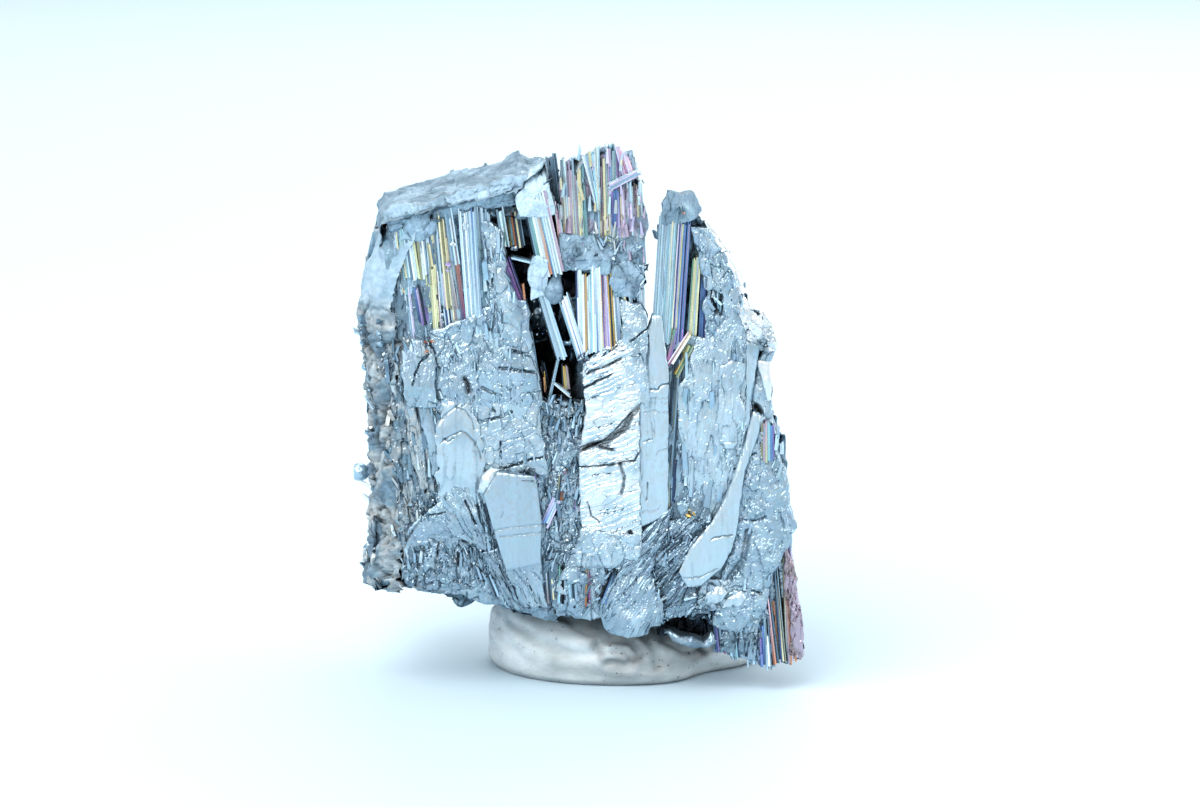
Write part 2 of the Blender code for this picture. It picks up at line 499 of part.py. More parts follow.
def flank_crystals(name: str, edge: Line, outward: float, chance: random.Random,
                   collection: bpy.types.Collection) -> None:
    """Columns of broken crystals down one flank, from its front edge to the back."""
    for index in range(FLANK_COLUMNS):
        y = FLANK_FROM + index * FLANK_SPACING
        inset = 1.2 - 0.26 * index if outward < 0 else 0.5 + 0.3 * index
        start = edge[0][0] + chance.uniform(0.5, 2.0)
        stop = edge[-1][0] - chance.uniform(0.2, 1.6) - (1.4 if outward > 0 else 0.9) * index
        low = Vector((along(edge, start) - outward * inset, y, start))
        high = Vector((along(edge, stop) - outward * inset, y, stop))
        broken_column(f"{name}_{index}", low, high, Vector((outward, -0.15, 0.1)), 2.9, 3, chance, collection)


def tower_steps(chance: random.Random, collection: bpy.types.Collection) -> None:
    """Shorter crystals that step down behind the two towers."""
    for number, row in enumerate(STEP_ROWS):
        for index, x in enumerate(row.places):
            high = Vector((x, row.y + chance.uniform(-0.4, 0.4), row.top - row.fall * index - chance.uniform(0.0, 1.0)))
            low = Vector((x - 0.4, row.y + 0.8, high.z - 6.0))
            crystal(f"step_{number}_{index}", low, high, Vector((0.0, 1.0, 0.2)), (1.7, 1.3), 2.6,
                    chance.uniform(-20.0, 20.0), chance.choice(list(Tip)), chance, collection, chamfered=False)


def grain(name: str, centre: Place, radii: Place, chance: random.Random,
          collection: bpy.types.Collection) -> bpy.types.Object:
    """A small angular lump with its own random stance."""
    mesh = bpy.data.meshes.new(name)
    shape = bmesh.new()
    bmesh.ops.create_cube(shape, size=1.5)
    stance = Matrix.Rotation(chance.uniform(0.0, math.tau), 4, Vector((chance.random(), chance.random(), 1.0)))
    size = Matrix.Diagonal(Vector(radii) * MM).to_4x4()
    for vert in shape.verts:
        vert.co *= chance.uniform(0.75, 1.15)
    shape.transform(Matrix.Translation(Vector(centre) * MM) @ size @ stance)
    shape.to_mesh(mesh)
    shape.free()
    obj = bpy.data.objects.new(name, mesh)
    collection.objects.link(obj)
    return as_helper(obj)


def druse_grains(chance: random.Random, collection: bpy.types.Collection) -> None:
    """The beads and stubs that crust the left flank."""
    for index in range(DRUSE_GRAINS):
        z = chance.uniform(*DRUSE_HEIGHTS)
        back = chance.random()
        x = along(LEFT_EDGE, z) + 0.1 + (1.0 - back) * 2.0
        y = -4.4 + back * 9.5
        size = chance.uniform(0.6, 1.0)
        grain(f"druse_{index}", (x, y, z), (size * 0.8, size * 1.1, size * 1.25), chance, collection)
    grain("druse_bead", *DRUSE_BEAD, chance, collection)
    grain("foot_bead", *FOOT_BEAD, chance, collection)


def ledge_grains(chance: random.Random, collection: bpy.types.Collection) -> None:
    """Rough lumps where blades snapped: the slab's lip, the tower's waist and both caps."""
    for row in LUMP_ROWS:
        for index in range(row.count):
            share = index / (row.count - 1)
            x = row.start[0] + (row.stop[0] - row.start[0]) * share + chance.uniform(-0.2, 0.2)
            z = row.start[1] + (row.stop[1] - row.start[1]) * share + chance.uniform(-0.3, 0.3)
            wide = row.size * chance.uniform(0.8, 1.25)
            centre = (x, face_y(z, chance.uniform(-0.6, 0.25)), z)
            grain(f"{row.name}_{index}", centre, (wide * 1.15, wide, wide * 0.85), chance, collection)


def slab_ledges(chance: random.Random, collection: bpy.types.Collection) -> None:
    """Low broken ledges over the slab's top, which would otherwise be flat."""
    across = LEDGES // 2
    for index in range(LEDGES):
        x = LEDGE_FROM[0] + LEDGE_SPACING[0] * (index % across) + chance.uniform(-0.5, 0.5)
        y = LEDGE_FROM[1] + LEDGE_SPACING[1] * (index // across) + chance.uniform(-0.6, 0.6)
        z = LEDGE_Z + LEDGE_CLIMB[0] * (x + 14.9) + LEDGE_CLIMB[1] * (y + 5.4)
        wide = chance.uniform(1.3, 2.0)
        grain(f"ledge_{index}", (x, y, z), (wide, wide * 1.2, 0.5), chance, collection)


def core_ring(section: Section) -> list[Place]:
    """Six corners of one core section, from the front left round to the left middle."""
    span = section.front_x[1] - section.front_x[0]

    def corner(x: float, y: float, share_back: float) -> Place:
        climb = section.rise * (x - section.front_x[0]) / span
        return (x, y, section.z + climb - section.drop * share_back)

    front = face_y(section.z) + CORE_INSET
    middle = 0.45 * front + 0.55 * section.back_y
    left = 0.4 * section.front_x[0] + 0.6 * section.back_x[0] - 0.25
    right = 0.4 * section.front_x[1] + 0.6 * section.back_x[1] + 0.25
    return [corner(section.front_x[0], front, 0.0), corner(section.front_x[1], front, 0.0),
            corner(right, middle, 0.55), corner(section.back_x[1], section.back_y, 1.0),
            corner(section.back_x[0], section.back_y, 1.0), corner(left, middle, 0.55)]


def core_block(name: str, sections: tuple[Section, ...], collection: bpy.types.Collection) -> bpy.types.Object:
    return loft(name, [core_ring(section) for section in sections], collection)


def hollow(name: str, outline: Line, depth: float, collection: bpy.types.Collection) -> bpy.types.Object:
    """A cutter from ahead of the face to depth behind it, narrowing as it goes in."""
    centre = Vector((sum(x for x, _ in outline), sum(z for _, z in outline))) / len(outline)

    def ring(behind: float, shrink: float) -> list[Place]:
        corners = []
        for x, z in outline:
            at = centre + (Vector((x, z)) - centre) * shrink
            corners.append((at.x, face_y(at.y) + behind, at.y))
        return corners

    return as_helper(loft(name, [ring(-4.0, 1.0), ring(depth, 0.72)], collection))


def putty_radius(angle: float, swell: float) -> float:
    """The lump's outline: an oval whose right end draws out into a short tail."""
    oval = PUTTY_HALF_LENGTH * PUTTY_HALF_DEPTH / math.hypot(
        PUTTY_HALF_DEPTH * math.cos(angle), PUTTY_HALF_LENGTH * math.sin(angle))
    tail = 1.5 * math.exp(-(((angle - 0.06) / 0.24) ** 2))
    dent = -1.2 * math.exp(-(((angle + 0.46) / 0.3) ** 2))
    return oval + tail + dent + swell


def putty_rings(swell: float) -> list[list[Place]]:
    """Level rings from the flat underside over the bulge to the crown, in millimetres."""
    steps = 32
    rings = []
    for height, reach in PUTTY_PROFILE:
        ring = []
        for step in range(steps):
            angle = -math.pi + math.tau * step / steps
            radius = putty_radius(angle, swell) * reach
            fold = 0.16 * math.sin(5.0 * angle + 1.1 * height) * math.sin(math.pi * height / 6.2)
            x = PUTTY_CENTRE[0] + (radius + fold) * math.cos(angle)
            y = PUTTY_CENTRE[1] + (radius + fold) * math.sin(angle)
            right_fall = max(0.0, 1.0 - 0.058 * max(0.0, x - 0.5))
            front_fall = 1.0 - 0.055 * max(0.0, -y - 0.5) * max(0.0, 1.0 - abs(x - 2.5) / 10.0)
            z = height * right_fall * front_fall + (swell if height > 0.0 else -swell)
            ring.append((x, y, z))
        rings.append(ring)
    return rings


def finish(name: str, colour: Place, metallic: float, roughness: float) -> bpy.types.Material:
    """A Principled material."""
    material = bpy.data.materials.new(name)
    material.use_nodes = True
    shader = material.node_tree.nodes["Principled BSDF"]
    shader.inputs["Base Color"].default_value = (*colour, 1.0)
    shader.inputs["Metallic"].default_value = metallic
    shader.inputs["Roughness"].default_value = roughness
    return material


def boolean(obj: bpy.types.Object, name: str, operation: str, collection: bpy.types.Collection) -> None:
    modifier = obj.modifiers.new(name, "BOOLEAN")
    modifier.operation = operation
    modifier.operand_type = "COLLECTION"
    modifier.collection = collection
    modifier.solver = "MANIFOLD"


def keep_outer_skin(obj: bpy.types.Object) -> None:
    """Applies the Booleans and drops the sealed voids they leave between crystals."""
    graph = bpy.context.evaluated_depsgraph_get()
    mesh = bpy.data.meshes.new_from_object(obj.evaluated_get(graph))
    shape = bmesh.new()
    shape.from_mesh(mesh)
    unseen = set(shape.verts)
    shells = []
    while unseen:
        queue = [unseen.pop()]
        shell = []
        while queue:
            vert = queue.pop()
            shell.append(vert)
            near = {link.other_vert(vert) for link in vert.link_edges} & unseen
            unseen -= near
            queue.extend(near)
        shells.append(shell)
    shells.sort(key=len)
    bmesh.ops.delete(shape, geom=[vert for shell in shells[:-1] for vert in shell], context="VERTS")
    shape.to_mesh(mesh)
    shape.free()
    obj.modifiers.clear()
    obj.data = mesh


def build_cluster() -> bpy.types.Object:
    """The intergrown crystals as one solid."""
    chance = random.Random(SEED)
    blocks = helper_collection("core_blocks")
    hollows = helper_collection("hollows")
    crystals = helper_collection("crystals")
    seat = helper_collection("seat")
    for name, sections in (("slab_block", SLAB_BLOCK), ("slab_peak", SLAB_PEAK),
                           ("tower_block", TOWER_BLOCK), ("right_block", RIGHT_BLOCK)):
        as_helper(core_block(name, sections, blocks))
    hollow("cleft", CLEFT, CLEFT_DEPTH, hollows)
    hollow("slot", SLOT, SLOT_DEPTH, hollows)
    front_crystals(chance, crystals)
    back_crystals(chance, crystals)
    flank_crystals("left", LEFT_EDGE, -1.0, chance, crystals)
    flank_crystals("right", RIGHT_EDGE, 1.0, chance, crystals)
    tower_steps(chance, crystals)
    druse_grains(chance, crystals)
    ledge_grains(chance, crystals)
    slab_ledges(chance, crystals)
    as_helper(loft("putty_seat", putty_rings(PUTTY_GAP), seat))
    grain("eye_hollow", EYE_CENTRE, EYE_RADII, chance, seat)
    cluster = core_block("stibnite_cluster", BASE_BLOCK, bpy.context.scene.collection)
    boolean(cluster, "join_blocks", "UNION", blocks)
    boolean(cluster, "cut_hollows", "DIFFERENCE", hollows)
    boolean(cluster, "join_crystals", "UNION", crystals)
    boolean(cluster, "cut_seat", "DIFFERENCE", seat)
    keep_outer_skin(cluster)
    cluster.data.materials.append(finish("stibnite", (0.42, 0.5, 0.58), 0.9, 0.35))
    return cluster


def build_putty() -> bpy.types.Object:
    """The oval holder, flat underneath."""
    putty = loft("putty_lump", putty_rings(0.0), bpy.context.scene.collection)
    putty.data.materials.append(finish("mounting_putty", (0.72, 0.76, 0.77), 0.0, 0.7))
    putty.data.shade_smooth()
    putty.data.set_sharp_from_angle(angle=math.radians(50.0))
    return putty


def main() -> None:
    for obj in list(bpy.data.objects):
        bpy.data.objects.remove(obj, do_unlink=True)
    build_cluster()
    build_putty()


main()
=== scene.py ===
"""Looks of the stibnite specimen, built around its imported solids.

The block is dressed from back to front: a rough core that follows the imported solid, sheets for the
broad crystal faces, bundles of thin laths for the striated columns, rubble where blades snapped,
and the lump of mounting putty underneath. Lengths are millimetres until a piece is made. The row
frame has +Z up, and the front faces -Y.
"""

import logging
import math
import random
from dataclasses import dataclass, field
from enum import Enum

import bpy
import numpy as np
from mathutils import Matrix, Vector
from mathutils.bvhtree import BVHTree


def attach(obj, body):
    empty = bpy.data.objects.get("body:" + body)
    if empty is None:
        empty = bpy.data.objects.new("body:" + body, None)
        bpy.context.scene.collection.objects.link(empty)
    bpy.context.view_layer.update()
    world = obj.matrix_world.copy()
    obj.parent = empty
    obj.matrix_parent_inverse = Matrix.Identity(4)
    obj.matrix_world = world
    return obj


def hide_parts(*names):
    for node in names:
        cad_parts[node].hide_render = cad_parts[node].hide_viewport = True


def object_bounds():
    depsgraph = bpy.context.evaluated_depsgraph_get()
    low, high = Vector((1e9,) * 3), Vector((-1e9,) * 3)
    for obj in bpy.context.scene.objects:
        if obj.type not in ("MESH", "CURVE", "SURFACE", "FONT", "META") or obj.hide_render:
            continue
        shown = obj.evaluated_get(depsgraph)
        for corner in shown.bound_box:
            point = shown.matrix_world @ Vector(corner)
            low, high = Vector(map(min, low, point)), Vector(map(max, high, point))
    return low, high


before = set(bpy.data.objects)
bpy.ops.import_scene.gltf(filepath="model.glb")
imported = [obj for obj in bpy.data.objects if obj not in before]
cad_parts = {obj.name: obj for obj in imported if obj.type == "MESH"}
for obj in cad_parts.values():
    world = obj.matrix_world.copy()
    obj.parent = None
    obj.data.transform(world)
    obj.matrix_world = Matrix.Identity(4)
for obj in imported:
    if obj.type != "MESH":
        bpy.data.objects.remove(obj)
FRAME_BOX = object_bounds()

MM = 0.001
SEED = 41
BODY = "root"
STIBNITE_SLOT = "stibnite"
PUTTY_SLOT = "mounting_putty"

# The front of the block is close to a plane that leans back as it rises.
FACE_Y = -6.0
FACE_Z = 6.0
FACE_LEAN = math.radians(3.0)
FRONT = np.array([0.0, -math.cos(FACE_LEAN), math.sin(FACE_LEAN)])
BACK = np.array([0.0, 1.0, 0.1])
# A height in metres that is above all of the block.
ABOVE = 0.06

Point = tuple[float, float]
Triple = tuple[float, float, float]
Line = tuple[Point, ...]
Edge = tuple[Triple, ...]
Array = np.ndarray
Material = bpy.types.Material
Piece = bpy.types.Object

log = logging.getLogger("stibnite")


class Tint(Enum):
    """What colour a crystal face shows, as display red, green and blue."""

    BLACK = (10, 14, 21)
    DARK = (52, 66, 80)
    SLATE = (112, 138, 156)
    STEEL = (152, 180, 199)
    SILVER = (169, 195, 212)
    PALE = (188, 212, 226)
    WHITE = (226, 240, 248)
    BEIGE = (184, 194, 198)
    BROWN = (146, 134, 138)
    OLIVE = (148, 152, 128)
    STRAW = (224, 218, 184)
    LIME = (202, 208, 170)
    GOLD = (198, 166, 98)
    ORANGE = (200, 146, 118)
    COPPER = (146, 98, 76)
    PINK = (218, 188, 207)
    MAGENTA = (154, 98, 142)
    MAUVE = (184, 171, 190)
    LILAC = (202, 197, 226)
    VIOLET = (136, 122, 176)
    NAVY = (66, 84, 126)
    BLUE = (108, 140, 188)
    CYAN = (162, 206, 222)
    TEAL = (142, 182, 190)
    GREEN = (96, 140, 124)

    def linear(self) -> Array:
        """The colour as linear light."""
        shown = np.array(self.value) / 255.0
        return np.where(shown <= 0.04045, shown / 12.92, ((shown + 0.055) / 1.055) ** 2.4)


class Tip(Enum):
    """How a bundle ends at its head, as the slope of its cut from left to right."""

    FLAT = 0.1
    RISE_LEFT = -0.55
    RISE_RIGHT = 0.56
    STEEP_LEFT = -1.3
    STEEP_RIGHT = 1.3
    CHIP = 0.3


FLAT, RISE_LEFT, RISE_RIGHT, STEEP_LEFT, STEEP_RIGHT, CHIP = Tip


class Relief(Enum):
    """What covers the face of a sheet."""

    SMOOTH = "smooth"
    KINKED = "kinked"
    FIBROUS = "fibrous"
    RUMPLED = "rumpled"
    BROKEN = "broken"
    SHARDS = "shards"


SMOOTH, KINKED, FIBROUS, RUMPLED, BROKEN, SHARDS = Relief


def read_hues(words: str) -> list[tuple[Array, Array]]:
    """Reads the colours of a bundle from left to right.

    Args:
        words: tint names, with foot>head where a strip changes colour along its length.

    Returns:
        The linear colour at the foot and at the head of each strip.
    """
    strips = []
    for word in words.split():
        foot, _, head = word.partition(">")
        strips.append((Tint[foot.upper()].linear(), Tint[(head or foot).upper()].linear()))
    return strips


def read_palette(words: str) -> list[Array]:
    """The linear colours of some tint names."""
    return [tint for tint, _ in read_hues(words)]


def face_y(z: Array | float, proud: Array | float = 0.0) -> Array | float:
    """The Y of the leaning front at height z, for something standing proud of it."""
    return FACE_Y - proud + (z - FACE_Z) * math.tan(FACE_LEAN)


def resample(line: Line | Edge, shares: Array) -> Array:
    """Reads points along a line of straight lengths.

    Args:
        line: its corners, in two or three directions.
        shares: places along it, from 0 at its start to 1 at its end.

    Returns:
        One point for each share.
    """
    corners = np.array(line, float)
    lengths = np.linalg.norm(np.diff(corners, axis=0), axis=1)
    at = np.concatenate([[0.0], np.cumsum(lengths)])
    return np.stack([np.interp(shares * at[-1], at, column) for column in corners.T], axis=1)


def distance_to(line: Line, x: Array, z: Array) -> Array:
    """Measures from a line of straight lengths.

    Args:
        line: its corners.
        x: places across.
        z: their heights.

    Returns:
        How far each (x, z) is from it.
    """
    best = np.full(x.shape, np.inf)
    for (x0, z0), (x1, z1) in zip(line, line[1:]):
        run = np.array([x1 - x0, z1 - z0])
        share = np.clip(((x - x0) * run[0] + (z - z0) * run[1]) / max(run @ run, 1e-9), 0.0, 1.0)
        best = np.minimum(best, np.hypot(x - x0 - share * run[0], z - z0 - share * run[1]))
    return best


def inside(outline: Line, x: Array, z: Array) -> Array:
    """Tests places against a closed outline.

    Args:
        outline: its corners.
        x: places across.
        z: their heights.

    Returns:
        Which (x, z) lie inside it.
    """
    within = np.zeros(x.shape, bool)
    for (x0, z0), (x1, z1) in zip(outline, outline[1:] + outline[:1]):
        crosses = (z0 > z) != (z1 > z)
        within ^= crosses & (x < (x1 - x0) * (z - z0) / (z1 - z0 + 1e-12) + x0)
    return within


def smooth_step(low: float, high: float, value: Array) -> Array:
    """0 below low, 1 above high, and an even ease between them."""
    share = np.clip((value - low) / (high - low), 0.0, 1.0)
    return share * share * (3.0 - 2.0 * share)


def blend(share: Array | float, first: Array | Tint, second: Array | Tint) -> Array:
    """Mixes two colours.

    Args:
        share: how much of the second is wanted, from 0 to 1.
        first: a linear colour or a tint.
        second: the other.

    Returns:
        The linear mixture.
    """
    first, second = (colour.linear() if isinstance(colour, Tint) else colour for colour in (first, second))
    return (1.0 - share) * first + share * second


def zigzag(value: Array) -> Array:
    """A sawtooth from 0 to 1 that repeats at every whole number."""
    return value - np.floor(value)


class Noise:
    """Smooth seeded noise over points in millimetres."""

    SIDE = 48

    def __init__(self, seed: int) -> None:
        """Fills the lattice that the noise is read from."""
        self.lattice = np.random.default_rng(seed).uniform(-1.0, 1.0, (self.SIDE,) * 3)

    def at(self, points: Array, size: float | Triple) -> Array:
        """Reads the noise.

        Args:
            points: an array whose last axis is (x, y, z).
            size: the length of one wave, or one length for each axis.

        Returns:
            A value from -1 to 1 for each point.
        """
        place = points / np.asarray(size, float) + 100.0 * self.SIDE
        cell = np.floor(place).astype(int)
        part = place - cell
        part = part * part * (3.0 - 2.0 * part)
        total = np.zeros(points.shape[:-1])
        for corner in np.ndindex(2, 2, 2):
            index = (cell + corner) % self.SIDE
            weight = np.prod(np.where(np.array(corner) == 1, part, 1.0 - part), axis=-1)
            total += weight * self.lattice[index[..., 0], index[..., 1], index[..., 2]]
        return total

    def layers(self, points: Array, size: float, count: int = 4) -> Array:
        """Adds finer and fainter waves to the first, for a rough surface.

        Args:
            points: an array whose last axis is (x, y, z).
            size: the length of the longest wave.
            count: how many waves there are.

        Returns:
            A value near -1 to 1 for each point.
        """
        total = np.zeros(points.shape[:-1])
        for level in range(count):
            total += self.at(points + 7.3 * level, size / 2.0**level) / 2.0**level
        return total / 1.8


NOISE = Noise(SEED)


@dataclass(frozen=True)
class Facets:
    """Flat facets packed side by side, as where crystals snapped at random slants.

    size is a facet's length along x, y and z, step is how far facets stand ahead of each other,
    slope is how steeply they tilt, and tone is how much lighter or darker one is than the next, as
    painted light and shade for facets that catch the light differently. The seams between facets are
    also darkened, as painted shade.
    """

    size: Triple
    step: float
    slope: float
    tone: float

    DRAWS = np.random.default_rng(SEED + 9).uniform(-1.0, 1.0, (40, 40, 40, 8))

    def read(self, points: Array, flat: bool) -> tuple[Array, Array]:
        """Reads the field.

        Args:
            points: (..., 3) places in millimetres.
            flat: whether they all lie in one plane across y, which is quicker.

        Returns:
            How far the surface stands out at each point, and what its colour is multiplied by.
        """
        side = len(self.DRAWS)
        place = points / np.asarray(self.size) + 100.0 * side
        cell = np.floor(place).astype(int)
        nearest = np.full(points.shape[:-1], np.inf)
        second = np.full(points.shape[:-1], np.inf)
        draw = np.zeros((*points.shape[:-1], 8))
        gap = np.zeros(points.shape)
        for corner in np.ndindex(3, 1 if flat else 3, 3):
            beside = cell + np.array(corner) - np.array((1, 0 if flat else 1, 1))
            drawn = self.DRAWS[tuple(np.moveaxis(beside % side, -1, 0))]
            away = beside + 0.5 + 0.45 * drawn[..., :3] - place
            away[..., 1] *= 0.0 if flat else 1.0
            far = (away**2).sum(axis=-1)
            closer = far < nearest
            second = np.where(closer, nearest, np.minimum(second, far))
            nearest = np.where(closer, far, nearest)
            draw[closer] = drawn[closer]
            gap[closer] = away[closer]
        # The seams between facets are darkened as painted shade, and each facet's random tone is painted light and
        # shade for how it would catch the light.
        seam_shade = np.exp(-(((np.sqrt(second) - np.sqrt(nearest)) / 0.12) ** 2))
        height = self.step * draw[..., 3] + self.slope * (draw[..., 4:7] * gap * np.asarray(self.size)).sum(axis=-1)
        return height - 0.35 * self.step * seam_shade, np.exp(self.tone * draw[..., 7]) * (1.0 - 1.6 * self.tone * seam_shade)


class Dice:
    """The seeded sources of unevenness, which several pieces may share."""

    def __init__(self, seed: int) -> None:
        """Starts both sources."""
        self.chance = random.Random(seed)
        self.generator = np.random.default_rng(seed)


class Draft:
    """Corners, faces and face colours gathered for one piece, in millimetres."""

    def __init__(self, dice: Dice | None = None) -> None:
        """Starts with nothing in it.

        Args:
            dice: the sources that its parts draw from, or none for fresh ones.
        """
        self.dice = dice or Dice(SEED)
        self.corners: list[Array] = []
        self.tints: list[Array] = []
        self.faces: list[Array] = []
        self.even: list[Array] = []
        self.count = 0

    def add(self, corners: Array, faces: Array, tints: Array, even: bool = False) -> None:
        """Adds a shape.

        Args:
            corners: (n, 3) places.
            faces: (m, 4) indices into corners.
            tints: (n, 3) linear colours, or one colour for all.
            even: whether it is shaded as one even surface.
        """
        self.even.append(np.full(len(faces), even))
        self.corners.append(corners)
        self.tints.append(np.broadcast_to(tints, corners.shape))
        self.faces.append(faces + self.count)
        self.count += len(corners)

    def add_grid(self, places: Array, tints: Array, even: bool = False) -> None:
        """Adds a surface of quads.

        Args:
            places: (rows, columns, 3) places.
            tints: (rows, columns, 3) linear colours.
            even: whether it is shaded as one even surface.
        """
        index = np.arange(places.shape[0] * places.shape[1]).reshape(places.shape[:2])
        faces = np.stack([index[:-1, :-1], index[:-1, 1:], index[1:, 1:], index[1:, :-1]], axis=-1).reshape(-1, 4)
        self.add(places.reshape(-1, 3), faces, tints.reshape(-1, 3), even)

    def piece(self, name: str, material: Material, slot: str = STIBNITE_SLOT) -> Piece:
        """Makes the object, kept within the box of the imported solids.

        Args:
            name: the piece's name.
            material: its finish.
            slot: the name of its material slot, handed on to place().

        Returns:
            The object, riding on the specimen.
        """
        low, high = (np.array(corner) for corner in FRAME_BOX)
        corners = np.clip(np.concatenate(self.corners) * MM, low, high)
        faces = np.concatenate(self.faces)
        mesh = bpy.data.meshes.new(name)
        mesh.vertices.add(len(corners))
        mesh.vertices.foreach_set("co", corners.astype(np.float32).ravel())
        mesh.loops.add(faces.size)
        mesh.loops.foreach_set("vertex_index", faces.astype(np.int32).ravel())
        mesh.polygons.add(len(faces))
        mesh.polygons.foreach_set("loop_start", np.arange(0, faces.size, 4, dtype=np.int32))
        mesh.polygons.foreach_set("use_smooth", np.concatenate(self.even))
        mesh.update(calc_edges=True)
        tint = mesh.attributes.new("tint", "FLOAT_COLOR", "POINT")
        colours = np.concatenate([np.concatenate(self.tints), np.ones((self.count, 1))], axis=1)
        tint.data.foreach_set("color", colours.astype(np.float32).ravel())
        mesh.validate()
        return place(name, mesh, material, slot)


def place(name: str, mesh: bpy.types.Mesh, material: Material, slot: str) -> Piece:
    """Puts a mesh in the scene as a piece that rides on the specimen.

    Args:
        name: the piece's name.
        mesh: its mesh.
        material: its finish.
        slot: not used.

    Returns:
        The object.
    """
    obj = bpy.data.objects.new(name, mesh)
    bpy.context.scene.collection.objects.link(obj)
    mesh.materials.append(material)
    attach(obj, BODY)
    return obj


def unit(vector: Array) -> Array:
    """The vector at length 1."""
    return vector / max(float(np.linalg.norm(vector)), 1e-9)


def turned(vector: Array, axis: Array, degrees: float) -> Array:
    """The vector spun about an axis."""
    return np.array(Matrix.Rotation(math.radians(degrees), 3, Vector(axis)) @ Vector(vector))


@dataclass(frozen=True)
class Habit:
    """How laths grow and break, in millimetres and degrees.

    widest is how wide one may be, segment is how long it may run between two rings, and chamfer and
    wave shape it along its length. depth is how far it reaches back. overlap closes the gap to its
    neighbour, and round is how far the outer ones of a bundle stand back. spin and tone are how much
    each strays. snapped is the share that broke partway, shortest is the least length that does, and
    steps are how far the rest stands back from the break.
    """

    widest: float = 0.18
    segment: float = 1.5
    chamfer: float = 0.05
    wave: float = 0.018
    depth: Point = (0.7, 1.2)
    overlap: float = 1.04
    round: float = 0.07
    spin: float = 5.0
    tone: float = 0.15
    snapped: float = 0.22
    shortest: float = 2.5
    steps: Point = (0.05, 0.16)


HABIT = Habit()


@dataclass(frozen=True)
class Lath:
    """One thin flat-faced crystal of a bundle.

    Its front face runs from foot to head and faces out. depth is how far it reaches back, tints
    are its colours at both ends, and lift is the slope of its broken head from side to side.
    """

    foot: Array
    head: Array
    out: Array
    width: Point
    depth: float
    tints: tuple[Array, Array]
    lift: float

    def lay(self, draft: Draft, chance: random.Random) -> None:
        """Adds the lath, slightly waved along its length.

        Args:
            draft: the piece it goes to.
            chance: the seeded source of its unevenness.
        """
        axis = unit(self.head - self.foot)
        out = unit(self.out - axis * (self.out @ axis))
        side = np.cross(axis, out)
        length = float(np.linalg.norm(self.head - self.foot))
        levels = max(2, math.ceil(length / HABIT.segment)) + 1
        phase = chance.uniform(0.0, math.tau)
        back_fall = chance.uniform(-0.2, 0.5)
        rings = []
        tints = []
        for level in range(levels):
            share = level / (levels - 1)
            half = 0.5 * (self.width[0] + (self.width[1] - self.width[0]) * share)
            cut = min(0.2 * half, HABIT.chamfer)
            wave = HABIT.wave * math.sin(phase + 2.3 * level) + chance.uniform(-0.008, 0.008)
            outline = ((-half, -self.depth), (half, -self.depth), (half, -cut), (half - cut, 0.0),
                       (cut - half, 0.0), (-half, -cut))
            last = level == levels - 1
            for across, inward in outline:
                rise = self.lift * across + back_fall * inward if last else 0.0
                rings.append(self.foot + axis * (length * share + rise) + side * across + out * (inward + wave))
            tone = chance.uniform(0.9, 1.1)
            tints.extend([tone * blend(share, *self.tints)] * len(outline))
        faces = [(0, 1, 2, 5), (5, 2, 3, 4)]
        top = 6 * (levels - 1)
        faces += [(top + 5, top + 2, top + 1, top), (top + 4, top + 3, top + 2, top + 5)]
        for level in range(levels - 1):
            for i in range(6):
                a, b = 6 * level + i, 6 * level + (i + 1) % 6
                faces.append((a, a + 6, b + 6, b))
        draft.add(np.array(rings), np.array(faces)[:, ::-1], np.array(tints))


@dataclass(frozen=True)
class Bundle:
    """Thin laths side by side that share one face of the block.

    foot and head are the middle of the face's ends as (x, z), width is (at foot, at head), proud is
    how far the face stands ahead of the leaning front, turn spins it about its own length in
    degrees, and ragged is how unevenly its laths broke off.
    """

    foot: Point
    head: Point
    width: Point
    proud: float
    turn: float
    hues: str
    ragged: float = 0.35
    tip: Tip = FLAT

    def lay(self, draft: Draft) -> None:
        """Adds its laths to a draft."""
        foot, head = (np.array([x, face_y(z, self.proud), z]) for x, z in (self.foot, self.head))
        lay_bundle(draft, foot, head, FRONT, self.width, self.turn, self.tip, self.hues, self.ragged)


